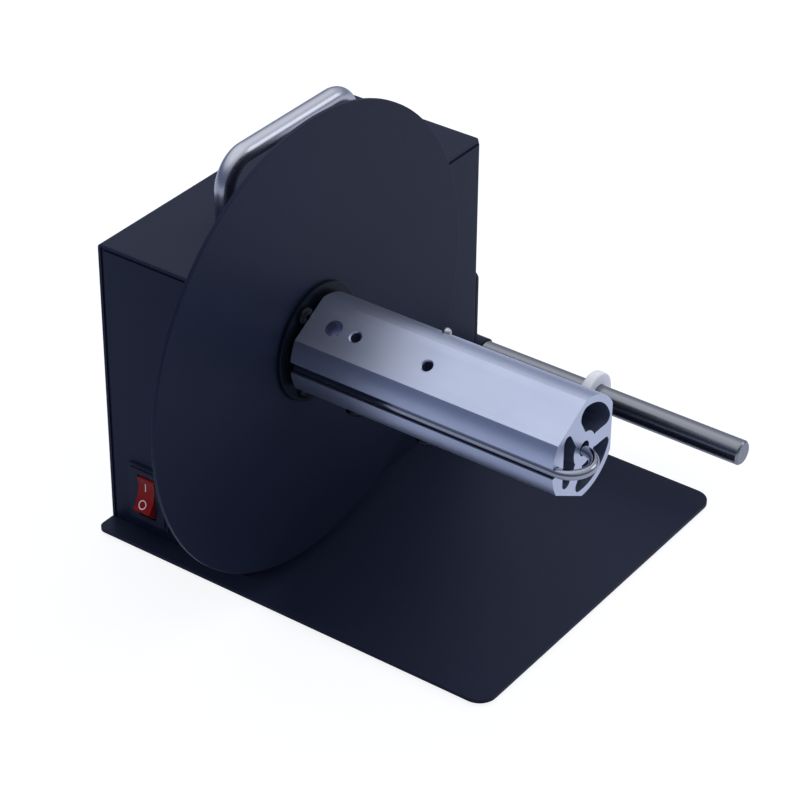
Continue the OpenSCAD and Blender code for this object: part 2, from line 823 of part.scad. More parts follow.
module motor_plate() {
    color(steel) difference() {
        at_spindle() plate_y(motor_plate_y0, gearbox_y0) difference() {
            translate([-motor_plate_half, -motor_plate_half]) {
                round_rect(2 * motor_plate_half, 2 * motor_plate_half, post_af / 2);
            }
            circle(gearbox_nose_r + hole_gap);
        }
        each_post() rod_y(motor_plate_y0 - 1, gearbox_y0 + 1, m4[0] / 2 + hole_gap);
        each_gearbox_screw() rod_y(motor_plate_y0 - 1, gearbox_y0 + 1, m3[0] / 2 + hole_gap);
    }
}

module gearbox() {
    color(steel) difference() {
        at_spindle() {
            rod_y(gearbox_y0, gearbox_y0 + gearbox_len, gearbox_r);
            rod_y(motor_plate_y0, gearbox_y0 + 1, gearbox_nose_r);
        }
        at_spindle() rod_y(motor_plate_y0 - 1, motor_shaft_y1 + move_gap, motor_shaft_r + run_gap);
        each_gearbox_screw() rod_y(gearbox_y0 - 1, gearbox_y0 + gearbox_thread, m3[0] / 2 + fit_gap);
    }
}

module gearbox_screws() {
    color(steel) each_gearbox_screw() translate([0, motor_plate_y0, 0]) rotate([90, 0, 0]) {
        screw(m3, motor_plate_t + gearbox_thread - 1);
    }
}

module motor_can() {
    motor_y0 = gearbox_y0 + gearbox_len;
    motor_y1 = motor_y0 + motor_len;
    color(steel) at_spindle() {
        rod_y(motor_y0, motor_y1, motor_r);
        rod_y(motor_y0, motor_y1 + 2, 5);
        for (x = [-10, 10]) translate([x - 1.5, motor_y1 - 1, -0.4]) cube([3, 5, 0.8]);
    }
}

module motor_shaft() {
    color(steel) at_spindle() rod_y(shaft_y1 - coupling_len + move_gap, motor_shaft_y1, motor_shaft_r);
}

// Spindle with the side disc

module spindle_shaft() {
    color(steel) at_spindle() difference() {
        union() {
            rod_y(clamp_y0 - core_gap, shaft_y1, shaft_r);
            rod_y(core_y1, clamp_y0, shaft_collar_r);
            rod_y(core_y1 - spigot_len, core_y1 + 1, spigot_r);
        }
        rod_y(shaft_y1 - coupling_len, shaft_y1 + 1, motor_shaft_r + fit_gap);
    }
}

module hub() {
    color(black) difference() {
        at_spindle() difference() {
            union() {
                rod_y(disc_y1, disc_y1 + hub_t, hub_dia / 2);
                rod_y(disc_y1, hub_boss_y1, hub_boss_r);
            }
            rod_y(disc_y1 - 1, cab_y0, shaft_r + fit_gap);
            hub_set_screw_place() cylinder(h = hub_dia, d = m5[0] + 2 * fit_gap);
        }
        each_flange_screw() rod_y(disc_y1 - 1, disc_y1 + hub_t + 1, m5[0] / 2 + fit_gap);
    }
}

module hub_set_screw_place() {
    translate([0, (disc_y1 + hub_t + hub_boss_y1) / 2, 0]) children();
}

module hub_set_screw() {
    color(steel) at_spindle() hub_set_screw_place() grub_screw(shaft_r + fit_gap, hub_boss_r - 1, m5[0]);
}

module side_disc() {
    color(coat) difference() {
        at_spindle() plate_y(disc_y0, disc_y1) difference() {
            circle(disc_dia / 2, $fn = 180);
            circle(shaft_r + fit_gap);
        }
        each_flange_screw() rod_y(disc_y0 - 1, disc_y1 + 1, m5[0] / 2 + hole_gap);
    }
}

module clamp_flange() {
    color(black) difference() {
        at_spindle() difference() {
            rod_y(clamp_y0, disc_y0, clamp_dia / 2);
            rod_y(clamp_y0 - 1, disc_y0 + 1, shaft_r + fit_gap);
        }
        each_flange_screw() rod_y(clamp_y0 - 1, disc_y0 + 1, m5[0] / 2 + hole_gap);
    }
}

module flange_screws() {
    color(steel) each_flange_screw() translate([0, clamp_y0, 0]) rotate([90, 0, 0]) {
        screw(m5, clamp_t + disc_t + hub_t - move_gap);
    }
}

// Core: a hollow extrusion with three flats, three cavities and a groove for the wire

// One cavity, pointing along X: a sector between two webs, round at its outer corners, outside the boss.
// The webs' half thicknesses and the corners' radii are those of its lower and its upper side.
module cavity(webs, corners) {
    lobe = core_r - core_wall;
    across = webs + corners;
    along = [for (i = [0, 1]) sqrt(pow(lobe - corners[i], 2) - pow(across[i], 2))];
    function at(i, off) = [along[i] * cos(60) + off * sin(60), (2 * i - 1) * (along[i] * sin(60) - off * cos(60))];
    centres = [at(0, across[0]), at(1, across[1])];
    apex = [(webs[0] + webs[1]) / 2 / sin(60), webs[0] - webs[1]];
    spread = [for (c = centres) 2 * core_r * c / norm(c)];
    difference() {
        union() {
            polygon([apex, at(0, webs[0]), centres[0], centres[1], at(1, webs[1])]);
            for (i = [0, 1]) translate(centres[i]) circle(corners[i]);
            intersection() {
                circle(lobe);
                polygon([[0, 0], spread[0], [2 * core_r, 0], spread[1]]);
            }
        }
        circle(boss_r);
    }
}

// The cavity behind the wire's groove, pointing along X: flat against the groove's wall
module groove_cavity(depth) {
    x = depth - groove_corner;
    y = (x * sin(60) - web_half - groove_corner) / cos(60);
    side = [x - groove_corner * sin(60), y + groove_corner * cos(60)];
    difference() {
        union() {
            polygon([
                [web_half / sin(60), 0], [side.x, -side.y], [x, -y], [depth, -y], [depth, y], [x, y], side
            ]);
            for (end = [-y, y]) translate([x, end]) circle(groove_corner);
        }
        circle(boss_r);
    }
}

module core_section() {
    groove_r = wire_dia / 2 + move_gap;
    difference() {
        intersection() {
            circle(core_r, $fn = 128);
            rotate(60) circle(2 * core_flat, $fn = 3);
        }
        circle(core_bore);
        rotate(60) cavity([web_half, set_web], [cavity_corner, set_corner]);
        rotate(300) cavity([web_half, web_half], [cavity_corner, cavity_corner]);
        rotate(180) groove_cavity(wire_off - groove_r - groove_wall);
        translate([-wire_off, 0]) circle(groove_r);
        translate([-2 * core_r, -groove_r]) square([2 * core_r - wire_off, 2 * groove_r]);
    }
}

// Place on one of the core's flats: Z outwards from the axis, at a distance from the core's root
module on_flat(angle, from_root) {
    at_spindle() translate([0, core_y1 - from_root, 0]) rotate([0, 90 - angle, 0]) children();
}

// Hole for a grip screw, with a countersink at the flat
module grip_hole() {
    d = grip_screw[0] + 2 * fit_gap;
    cylinder(h = 2 * core_flat, d = d);
    translate([0, 0, core_flat - grip_sink]) cylinder(h = 2 * grip_sink, d1 = d, d2 = d + 4 * grip_sink);
}

module core() {
    color(satin_aluminium) difference() {
        at_spindle() plate_y(core_y0, core_y1) core_section();
        on_flat(120, set_hole_at) {
            translate([0, 0, core_flat * 0.58]) cylinder(h = core_flat, r = set_hole_r);
            cylinder(h = core_flat, d = set_screw_d + 2 * fit_gap);
        }
        for (a = [120, 240], at = grip_at) on_flat(a, at) grip_hole();
        on_flat(60, stud_at) cylinder(h = 2 * core_r, d = stud_dia + 2 * fit_gap);
    }
}

module core_set_screw() {
    color(steel) on_flat(120, set_hole_at) grub_screw(spigot_r + fit_gap, core_flat * 0.58, set_screw_d);
}

module grip_screws() {
    color(steel) for (at = grip_at) on_flat(240, at) translate([0, 0, core_flat]) {
        screw(grip_screw, grip_screw_len);
    }
}

module grip_stud() {
    dome_at = core_r + stud_dome - stud_dia / 2;
    lobe = core_r - core_wall;
    color(steel) on_flat(60, stud_at) {
        translate([0, 0, lobe]) cylinder(h = dome_at - lobe, d = stud_dia);
        translate([0, 0, dome_at]) sphere(d = stud_dia);
    }
}

module retaining_wire() {
    r = wire_dia / 2;
    bend = (wire_off - wire_in) / 2;
    bend_y = core_y0 - wire_reach + bend + r;
    color(steel) at_spindle() {
        translate([-wire_off, 0, 0]) rod_y(bend_y, core_y1 - 1, r);
        translate([-wire_in, 0, 0]) rod_y(bend_y, bend_y + wire_hook, r);
        translate([-wire_in - bend, bend_y, 0]) rotate([0, 0, 180]) {
            rotate_extrude(angle = 180) translate([bend, 0]) circle(r);
        }
    }
}

// Tension arm

module arm_bracket() {
    foot_len = bracket_y1 - bracket_y0;
    color(steel) difference() {
        union() {
            translate([pivot_x - bracket_half, bracket_y0, base_z]) {
                cube([2 * bracket_half, foot_len, bracket_t]);
            }
            for (y = [bracket_y0, bracket_y1 - bracket_t]) plate_y(y, y + bracket_t) {
                translate([pivot_x - bracket_half, base_z]) square([2 * bracket_half, pivot_z - base_z]);
                translate([pivot_x, pivot_z]) circle(bracket_half);
            }
        }
        at_pivot() rod_y(bracket_y0 - 1, bracket_y1 + 1, bush_r + fit_gap);
        each_bracket_screw() translate([0, 0, base_z - 1]) {
            cylinder(h = bracket_t + 2, d = base_screw[0] + 2 * fit_gap);
        }
    }
}

module bracket_screws() {
    color(steel) each_bracket_screw() translate([0, 0, foot_h]) rotate([180, 0, 0]) {
        screw(base_screw, plate_t + bracket_t + screw_past);
    }
}

module pivot_bushes() {
    color(bronze) at_pivot() difference() {
        union() {
            rod_y(bracket_y0 - bush_lip_t, bracket_y0, bush_lip_r);
            rod_y(bracket_y0 - bush_lip_t, bracket_y0 + bracket_t, bush_r);
            rod_y(bracket_y1, bracket_y1 + bush_lip_t, bush_lip_r);
            rod_y(bracket_y1 - bracket_t, bracket_y1 + bush_lip_t, bush_r);
        }
        rod_y(bracket_y0 - 2, bracket_y1 + 2, pivot_r + run_gap);
    }
}

module position_sensor() {
    slot_y0 = flag_vane_y0 + flag_t / 2 - sensor_slot / 2;
    outer = flag_r + sensor_prong + 1;
    color(black) at_pivot() translate([0, 0, -sensor_half]) {
        translate([-outer, bracket_y1, 0]) {
            cube([outer - bush_lip_r - sensor_prong, slot_y0 - bracket_y1, 2 * sensor_half]);
        }
        translate([-outer, slot_y0 + sensor_slot, 0]) cube([sensor_reach, sensor_prong, 2 * sensor_half]);
        translate([-outer, bracket_y1, 0]) {
            cube([sensor_prong, slot_y0 + sensor_slot + sensor_prong - bracket_y1, 2 * sensor_half]);
        }
    }
}

module swing_arm() {
    color(coat) at_pivot() rotate([0, arm_drop, 0]) difference() {
        union() {
            plate_y(arm_y0, arm_y1) link_outline(arm_len, arm_half);
            rod_y(arm_y0, arm_boss_y1, arm_boss_r);
            translate([arm_len, 0, 0]) rod_y(rod_y1, arm_y1, arm_half);
        }
        rod_y(arm_y0 - 1, arm_boss_y1 + 1, pivot_r + fit_gap);
        translate([arm_len, 0, 0]) rod_y(rod_y1 - 1, arm_y1 + 1, m5[0] / 2 + fit_gap);
    }
}

module pivot_shaft() {
    color(steel) at_pivot() rod_y(pivot_y0, pivot_y1, pivot_r);
}

module pivot_clip() {
    color(steel) at_pivot() difference() {
        rod_y(arm_y0 - clip_t, arm_y0, pivot_r + 2.5);
        rod_y(arm_y0 - clip_t - 1, arm_y0 + 1, pivot_r + fit_gap);
    }
}

module sensor_flag() {
    vane_from = 140;
    vane_to = 172;
    color(black) at_pivot() difference() {
        union() {
            rod_y(flag_y0, flag_y0 + flag_hub_len, flag_hub_r);
            plate_y(flag_vane_y0, flag_vane_y0 + flag_t) intersection() {
                circle(flag_r);
                polygon([
                    [0, 0], [2 * flag_r * cos(vane_from), 2 * flag_r * sin(vane_from)],
                    [2 * flag_r * cos(vane_to), 2 * flag_r * sin(vane_to)]
                ]);
            }
        }
        rod_y(flag_y0 - 1, flag_y0 + flag_hub_len + 1, pivot_r + fit_gap);
    }
}

module tension_rod() {
    color(steel) translate([rod_x, rod_y1, rod_z]) rotate([90, 0, 0]) difference() {
        union() {
            cylinder(h = rod_len - rod_tip, r = rod_r);
            translate([0, 0, rod_len - rod_tip]) cylinder(h = rod_tip, r1 = rod_r, r2 = rod_r - rod_tip);
        }
        translate([0, 0, -1]) cylinder(h = rod_hole_depth + 1, d = m5[0] + 2 * fit_gap);
    }
}

module rod_screw() {
    color(steel) translate([rod_x, arm_y1, rod_z]) rotate([-90, 0, 0]) {
        screw(m5, arm_y1 - rod_y1 + rod_hole_depth - screw_past);
    }
}

module guide_collar() {
    edge = 1.2;
    bore = rod_r + run_gap;
    color(nylon) translate([rod_x, rod_y1 - collar_at, rod_z]) rotate([90, 0, 0]) rotate_extrude() {
        difference() {
            union() {
                square([collar_dia / 2 - edge, collar_w]);
                translate([0, edge]) square([collar_dia / 2, collar_w - 2 * edge]);
                for (z = [edge, collar_w - edge]) translate([collar_dia / 2 - edge, z]) circle(edge);
            }
            translate([-1, -1]) square([bore + 1, collar_w + 2]);
        }
    }
}

module guard_plate() {
    color(coat) difference() {
        plate_x(cab_x1, cab_x1 + guard_t) difference() {
            translate([guard_y0, guard_z0]) round_rect(guard_y1 - guard_y0, guard_z1 - guard_z0, guard_r);
            arm_slot_outline(slot_side_gap, 0);
        }
        each_guard_screw() translate([0, 0, -1]) cylinder(h = guard_t + 2, d = m3[0] + 2 * hole_gap);
    }
}

module guard_screws() {
    color(steel) each_guard_screw() translate([0, 0, guard_t]) screw(m3, guard_t + sheet_t + screw_past / 2);
}

// Control board

module board_posts() {
    color(steel) each_board_post() difference() {
        translate([0, 0, base_z]) cylinder(h = board_up, r = board_post_r);
        translate([0, 0, base_z + 1]) cylinder(h = board_up, d = m3[0] + 2 * fit_gap);
    }
}

module control_board() {
    color(board_green) difference() {
        translate([board_x0, board_y0, base_z + board_up]) cube(board_size);
        each_board_post() translate([0, 0, base_z + board_up - 1]) {
            cylinder(h = board_size.z + 2, d = m3[0] + 2 * hole_gap);
        }
    }
}

module on_board(x, y) {
    translate([board_x0 + x, board_y0 + y, base_z + board_up + board_size.z]) children();
}

module board_screws() {
    color(steel) each_board_post() translate([0, 0, base_z + board_up + board_size.z]) {
        screw(m3, board_size.z + board_up - screw_past);
    }
}

module capacitor() {
    color(black) on_board(17, 19) cylinder(h = 18, r = 6);
}

module heat_sink() {
    fins = 4;
    color(satin_aluminium) on_board(50, 18) {
        cube([3, 16, 20]);
        for (i = [0 : fins - 1]) translate([0, i * 4.8, 0]) cube([11, 1.6, 20]);
    }
}

module terminal_block() {
    poles = 4;
    pitch = 5;
    color(board_green) on_board(24, 30) difference() {
        cube([poles * pitch, 8, 10]);
        for (i = [0 : poles - 1]) translate([(i + 0.5) * pitch, 4, 4]) cylinder(h = 7, r = 1.8);
    }
}

base_plate();
rubber_feet();
base_screws();
chassis();
rear_cover();
cover_screws();
carry_handle();
handle_screws();
switch_bezel();
guard_plate();
guard_screws();
dc_inlet();
speed_pot();
pot_nut();
direction_bezel();
bearing_housing();
housing_screws();
bearing_outer();
bearing_balls();
motor_posts();
post_screws();
motor_plate();
gearbox();
gearbox_screws();
motor_can();
arm_bracket();
bracket_screws();
pivot_bushes();
position_sensor();
board_posts();
control_board();
board_screws();
capacitor();
heat_sink();
terminal_block();
spindle_shaft();
bearing_inner();
hub();
hub_set_screw();
side_disc();
clamp_flange();
flange_screws();
core();
core_set_screw();
grip_screws();
grip_stud();
motor_shaft();
retaining_wire();
swing_arm();
pivot_shaft();
pivot_clip();
sensor_flag();
tension_rod();
rod_screw();
guide_collar();
power_rocker();
speed_knob();
pot_shaft();
direction_rocker();
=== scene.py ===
import json
import math

import bmesh
import bpy
from mathutils import Matrix, Vector

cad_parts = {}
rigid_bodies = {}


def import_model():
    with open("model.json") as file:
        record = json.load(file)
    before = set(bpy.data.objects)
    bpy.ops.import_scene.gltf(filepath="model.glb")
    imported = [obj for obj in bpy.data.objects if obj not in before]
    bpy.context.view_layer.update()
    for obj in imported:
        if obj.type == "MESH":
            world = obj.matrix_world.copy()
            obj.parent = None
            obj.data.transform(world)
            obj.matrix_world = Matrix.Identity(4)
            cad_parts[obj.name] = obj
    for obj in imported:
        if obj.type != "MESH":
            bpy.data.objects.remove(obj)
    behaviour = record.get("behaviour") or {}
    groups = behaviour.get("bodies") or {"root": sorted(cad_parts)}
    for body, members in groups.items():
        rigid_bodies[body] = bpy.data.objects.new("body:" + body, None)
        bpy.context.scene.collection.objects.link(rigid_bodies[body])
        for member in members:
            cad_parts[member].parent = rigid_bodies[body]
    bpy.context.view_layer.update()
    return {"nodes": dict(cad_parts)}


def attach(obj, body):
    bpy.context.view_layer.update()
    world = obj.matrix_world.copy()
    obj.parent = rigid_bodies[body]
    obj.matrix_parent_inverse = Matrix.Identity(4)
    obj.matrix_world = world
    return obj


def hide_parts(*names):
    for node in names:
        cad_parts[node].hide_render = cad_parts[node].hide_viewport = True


for leftover in list(bpy.data.objects):
    bpy.data.objects.remove(leftover)

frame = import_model()
mm = 0.001


# camera, at the photograph's viewpoint
cameraPlan = {
    "lens": 130.56,
    "sensor": 36.0,
    "place": (-0.94039, -0.66787, 0.83576),
    "azimuth": -54.386,
    "elevation": 33.618,
    "roll": 0.56,
    "clip": (0.05, 20),
}


def placeCamera(plan):
    turn, rise, roll = (math.radians(plan[key]) for key in ("azimuth", "elevation", "roll"))
    back = Vector((math.sin(turn) * math.cos(rise), -math.cos(turn) * math.cos(rise), math.sin(rise)))
    right = (-back).cross(Vector((0, 0, 1))).normalized()
    up = right.cross(-back)
    across = right * math.cos(roll) + up * math.sin(roll)
    upright = up * math.cos(roll) - right * math.sin(roll)
    lens = bpy.data.cameras.new("photoCamera")
    lens.lens = plan["lens"]
    lens.sensor_width = plan["sensor"]
    lens.clip_start, lens.clip_end = plan["clip"]
    camera = bpy.data.objects.new("photoCamera", lens)
    axes = Matrix((across, upright, back)).transposed().to_4x4()
    camera.matrix_world = Matrix.Translation(plan["place"]) @ axes
    bpy.context.scene.collection.objects.link(camera)
    bpy.context.scene.camera = camera


placeCamera(cameraPlan)
print("camera placed")


# materials
def hexColor(code):
    channels = [int(code[i:i + 2], 16) / 255 for i in (1, 3, 5)]
    linear = [c / 12.92 if c <= 0.04045 else ((c + 0.055) / 1.055) ** 2.4 for c in channels]
    return (*linear, 1.0)


def addNode(tree, kind, settings=None, inputs=None):
    node = tree.nodes.new(kind)
    for key, value in (settings or {}).items():
        setattr(node, key, value)
    for key, value in (inputs or {}).items():
        if isinstance(value, bpy.types.NodeSocket):
            tree.links.new(value, node.inputs[key])
        else:
            node.inputs[key].default_value = value
    return node


darkSheen = "#a8c0ff"  # tint of the highlights on dark coats
lineShare = 0.3  # share of the die lines in the core's relief
waveRepeat = 0.314  # a wave pattern of scale 1 repeats at this distance


def perMm(size):
    return 1 / (size * mm)  # texture scale for a pattern of this many millimetres


def startMaterial(name, fixed):
    material = bpy.data.materials.new(name)
    material.use_nodes = True
    tree = material.node_tree
    shader = tree.nodes["Principled BSDF"]
    for socket, value in fixed.items():
        shader.inputs[socket].default_value = value
    place = addNode(tree, "ShaderNodeTexCoord").outputs["Object"]
    return material, tree, shader, place


def noise(tree, place, size, detail):
    # cloudy pattern with a grain of this many millimetres
    node = addNode(tree, "ShaderNodeTexNoise", {}, {"Vector": place, "Scale": perMm(size), "Detail": detail})
    return node.outputs["Fac"]


def cells(tree, place, size):
    # distance from the middle of cells of this many millimetres
    node = addNode(tree, "ShaderNodeTexVoronoi", {"feature": "F1"}, {"Vector": place, "Scale": perMm(size)})
    return node.outputs["Distance"]


def stretched(tree, place, scale):
    # a scale below 1 draws the pattern out along that axis
    return addNode(tree, "ShaderNodeMapping", {}, {"Vector": place, "Scale": scale}).outputs["Vector"]


def finishMaterial(tree, shader, tones, toneBy, roughness, roughBy, height, depth, strength):
    # two tones of the colour, two ends of the roughness and a relief, each driven by a pattern
    tint = addNode(tree, "ShaderNodeMix", {"data_type": "RGBA"}, {
        0: toneBy, 6: hexColor(tones[0]), 7: hexColor(tones[1])})
    gloss = addNode(tree, "ShaderNodeMapRange", {}, {
        "Value": roughBy, "To Min": roughness[0], "To Max": roughness[1]})
    relief = addNode(tree, "ShaderNodeBump", {}, {
        "Height": height, "Distance": depth * mm, "Strength": strength})
    tree.links.new(tint.outputs[2], shader.inputs["Base Color"])
    tree.links.new(gloss.outputs["Result"], shader.inputs["Roughness"])
    tree.links.new(relief.outputs["Normal"], shader.inputs["Normal"])


def makePowderCoat():
    # polyester powder baked on sheet steel: satin slate blue, a fine grit that breaks up the gloss
    material, tree, shader, place = startMaterial("powderCoatedSteel", {
        "Specular IOR Level": 0.15, "Specular Tint": hexColor(darkSheen)})
    grit = noise(tree, place, 0.9, 2.0)
    cloud = noise(tree, place, 60, 3.0)
    finishMaterial(tree, shader, ("#1d2233", "#212638"), cloud, (0.38, 0.50), grit, grit, 0.05, 0.5)
    return material


def makeClearAnodised():
    # extruded aluminium, etched and clear anodised: cool grey satin, frosted, with die lines along its length (Y)
    material, tree, shader, place = startMaterial("clearAnodisedExtrusion", {"Metallic": 0.95})
    lines = noise(tree, stretched(tree, place, (1.0, 0.006, 1.0)), 1.5, 1.0)
    frost = noise(tree, place, 0.5, 1.0)
    grain = addNode(tree, "ShaderNodeMath", {"operation": "MULTIPLY_ADD"}, {0: lines, 1: lineShare, 2: frost})
    bloom = noise(tree, place, 25, 2.0)
    finishMaterial(tree, shader, ("#acb4cc", "#bac2d9"), bloom, (0.28, 0.40), lines, grain.outputs[0], 0.045, 0.8)
    return material


def makeStainless():
    # stainless bar, satin polished along its length (X): bright soft bands, with faint streaks
    material, tree, shader, place = startMaterial("polishedStainless", {"Metallic": 1.0})
    streaks = noise(tree, stretched(tree, place, (0.03, 1.0, 1.0)), 0.7, 2.0)
    finishMaterial(tree, shader, ("#a9acb8", "#b7bac5"), streaks, (0.24, 0.34), streaks, streaks, 0.01, 0.3)
    return material


def makeGroundSteel():
    # cold-drawn steel bar: grey, with long fine streaks along its axis (Y)
    material, tree, shader, place = startMaterial("coldDrawnSteel", {"Metallic": 1.0})
    streaks = noise(tree, stretched(tree, place, (1.0, 0.01, 1.0)), 1.6, 3.0)
    finishMaterial(tree, shader, ("#71747d", "#8f929a"), streaks, (0.20, 0.31), streaks, streaks, 0.02, 0.4)
    return material


def makeSpringWire():
    # bright drawn spring wire: drawing lines along it (Y) and a slightly grey lustre
    material, tree, shader, place = startMaterial("drawnSpringWire", {"Metallic": 1.0})
    lines = noise(tree, stretched(tree, place, (1.0, 0.02, 1.0)), 0.5, 2.0)
    finishMaterial(tree, shader, ("#888c98", "#9ca0ac"), lines, (0.08, 0.15), lines, lines, 0.01, 0.3)
    return material


def makeZincPlate():
    # zinc-plated steel with a clear passivate: bright grey, finely spangled
    material, tree, shader, place = startMaterial("zincPlatedSteel", {"Metallic": 1.0})
    spangle = cells(tree, place, 1.2)
    grain = noise(tree, place, 0.6, 2.0)
    finishMaterial(tree, shader, ("#a3a6ac", "#bcbfc6"), spangle, (0.24, 0.40), grain, grain, 0.01, 0.3)
    return material


def makeBlackAnodised(axis):
    # turned aluminium, black anodised: near black, turning rings about the spindle
    material, tree, shader, place = startMaterial("blackAnodisedAluminium", {
        "Specular IOR Level": 0.14, "Specular Tint": hexColor(darkSheen)})
    centred = addNode(tree, "ShaderNodeMapping", {}, {"Vector": place, "Location": (-axis[0], 0, -axis[1])})
    rings = addNode(tree, "ShaderNodeTexWave", {"wave_type": "RINGS", "rings_direction": "Y"}, {
        "Vector": centred.outputs["Vector"], "Scale": waveRepeat * perMm(0.7), "Distortion": 0.4}).outputs["Fac"]
    bloom = noise(tree, place, 8, 2.0)
    finishMaterial(tree, shader, ("#0b1017", "#10161e"), bloom, (0.34, 0.46), rings, rings, 0.012, 0.4)
    return material


def makeNylon():
    # turned white nylon: milky, light sinks in a little, soft sheen with faint turning lines
    material, tree, shader, place = startMaterial("whiteNylon", {
        "Subsurface Weight": 0.3, "Subsurface Scale": 2.0 * mm, "Subsurface Radius": (1.0, 1.0, 1.0)})
    lines = noise(tree, stretched(tree, place, (0.03, 1.0, 0.03)), 0.6, 2.0)
    haze = noise(tree, place, 6, 2.0)
    finishMaterial(tree, shader, ("#f6f7ff", "#fbfbff"), haze, (0.36, 0.48), lines, lines, 0.02, 0.4)
    return material


def makeBlackAbs():
    # moulded black ABS with a spark-eroded grain: dark charcoal, soft broken highlights
    material, tree, shader, place = startMaterial("mouldedBlackAbs", {"Specular IOR Level": 0.1})
    grain = noise(tree, place, 0.5, 3.0)
    shade = noise(tree, place, 9, 1.0)
    finishMaterial(tree, shader, ("#20263a", "#272d3f"), shade, (0.38, 0.52), grain, grain, 0.03, 0.5)
    return material


def makeRedRocker():
    # translucent red polycarbonate over a dark switch: deep red, glossy, light sinks in
    material, tree, shader, place = startMaterial("translucentRedPolycarbonate", {
        "Subsurface Weight": 0.15, "Subsurface Scale": 1.0 * mm, "Subsurface Radius": (1.0, 0.25, 0.15),
        "Specular IOR Level": 0.1})
    depth = noise(tree, place, 7, 2.0)
    grain = noise(tree, place, 0.8, 1.0)
    finishMaterial(tree, shader, ("#861b1d", "#9a201b"), depth, (0.24, 0.36), grain, grain, 0.01, 0.3)
    return material


def makeRubber():
    # moulded rubber: black, matte, slightly dusty
    material, tree, shader, place = startMaterial("mouldedRubber", {"Specular IOR Level": 0.25})
    dust = noise(tree, place, 3, 4.0)
    grain = noise(tree, place, 0.5, 2.0)
    finishMaterial(tree, shader, ("#121315", "#1b1c1f"), dust, (0.70, 0.86), grain, grain, 0.03, 0.5)
    return material


def makeBronze():
    # sintered bronze: warm brown-gold, open pores that hold oil
    material, tree, shader, place = startMaterial("sinteredBronze", {"Metallic": 1.0})
    pores = cells(tree, place, 0.5)
    stain = noise(tree, place, 4, 3.0)
    finishMaterial(tree, shader, ("#8a6636", "#a67e48"), stain, (0.36, 0.58), pores, pores, 0.03, 0.5)
    return material


def makeBoard():
    # glass-epoxy board under green solder mask: copper tracks show as paler bands 2.5 mm apart
    material, tree, shader, place = startMaterial("solderMaskBoard", {"Specular IOR Level": 0.5})
    tracks = addNode(tree, "ShaderNodeTexBrick", {"offset": 0.5}, {
        "Vector": place, "Scale": perMm(10), "Mortar Size": 0.06, "Brick Width": 0.9,
        "Row Height": 0.25}).outputs["Fac"]
    weave = noise(tree, place, 0.6, 1.0)
    finishMaterial(tree, shader, ("#174a2c", "#2c6b43"), tracks, (0.30, 0.42), weave, tracks, 0.03, 0.5)
    return material


def makeBlackOxide():
    # blacked and oiled steel: dark grey with a dull lustre, slightly cloudy
    material, tree, shader, place = startMaterial("blackOxideSteel", {"Metallic": 1.0})
    cloud = noise(tree, place, 2, 3.0)
    grain = noise(tree, place, 0.5, 2.0)
    finishMaterial(tree, shader, ("#1d1f25", "#2a2c33"), cloud, (0.34, 0.48), grain, grain, 0.01, 0.3)
    return material


def makeInk(name, tones, roughness):
    # printed ink: thin, a little uneven in its cover
    material, tree, shader, place = startMaterial(name, {"Specular IOR Level": 0.3})
    cover = noise(tree, place, 1.2, 3.0)
    finishMaterial(tree, shader, tones, cover, roughness, cover, cover, 0.01, 0.3)
    return material


spindleX, spindleZ = -55.0, 125.5
powderCoat = makePowderCoat()
clearAnodised = makeClearAnodised()
stainless = makeStainless()
groundSteel = makeGroundSteel()
springWire = makeSpringWire()
zincPlate = makeZincPlate()
blackAnodised = makeBlackAnodised((spindleX * mm, spindleZ * mm))
nylon = makeNylon()
blackAbs = makeBlackAbs()
redRocker = makeRedRocker()
rubber = makeRubber()
bronze = makeBronze()
board = makeBoard()
blackOxide = makeBlackOxide()
rockerInk = makeInk("inkUnderRedSkin", ("#f6d6d9", "#ffe9ea"), (0.40, 0.54))  # pale pink
markPaint = makeInk("padPrintedWhite", ("#c9cace", "#e2e3e6"), (0.50, 0.64))
print("materials made:", len(bpy.data.materials))


# mesh helpers
softPlan = {"weld": 0.002, "flat": 0.4, "segments": 2, "sharp": 24}  # mm, degrees, count, degrees
turnedSharp = 35  # degrees


def linkMesh(name, mesh):
    piece = bpy.data.objects.new(name, mesh)
    bpy.context.scene.collection.objects.link(piece)
    return piece


def toPlainMesh(piece):
    # the evaluated mesh takes the place of the modifiers
    bpy.context.view_layer.update()
    graph = bpy.context.evaluated_depsgraph_get()
    made = bpy.data.meshes.new_from_object(piece.evaluated_get(graph), preserve_all_data_layers=True, depsgraph=graph)
    made.name = piece.name
    piece.modifiers.clear()
    piece.data = made
    return piece


def seat(piece, body, nodes, material=None):
    if material:
        piece.data.materials.clear()
        piece.data.materials.append(material)
    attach(piece, body)
    if nodes:
        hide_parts(*nodes)


def softCopy(node, name, edge):
    # the CAD skin, welded, with a small radius on its sharp edges
    source = frame["nodes"][node].data
    skin = bmesh.new()
    corners = [skin.verts.new(v.co) for v in source.vertices]
    for face in source.polygons:
        skin.faces.new([corners[i] for i in face.vertices])
    bmesh.ops.remove_doubles(skin, verts=skin.verts, dist=softPlan["weld"] * mm)
    flat = math.radians(softPlan["flat"])
    bmesh.ops.dissolve_limit(skin, angle_limit=flat, verts=skin.verts, edges=skin.edges)
    if node in pocketed:
        bmesh.ops.triangulate(skin, faces=[f for f in skin.faces if len(f.verts) > 4])
    mesh = bpy.data.meshes.new(name)
    skin.to_mesh(mesh)
    skin.free()
    piece = linkMesh(name, mesh)
    for face in mesh.polygons:
        face.use_smooth = True
    bevel = piece.modifiers.new("brokenEdges", "BEVEL")
    bevel.width = edge * mm
    bevel.segments = softPlan["segments"]
    bevel.limit_method = "ANGLE"
    bevel.angle_limit = math.radians(softPlan["sharp"])
    bevel.harden_normals = True
    return toPlainMesh(piece)


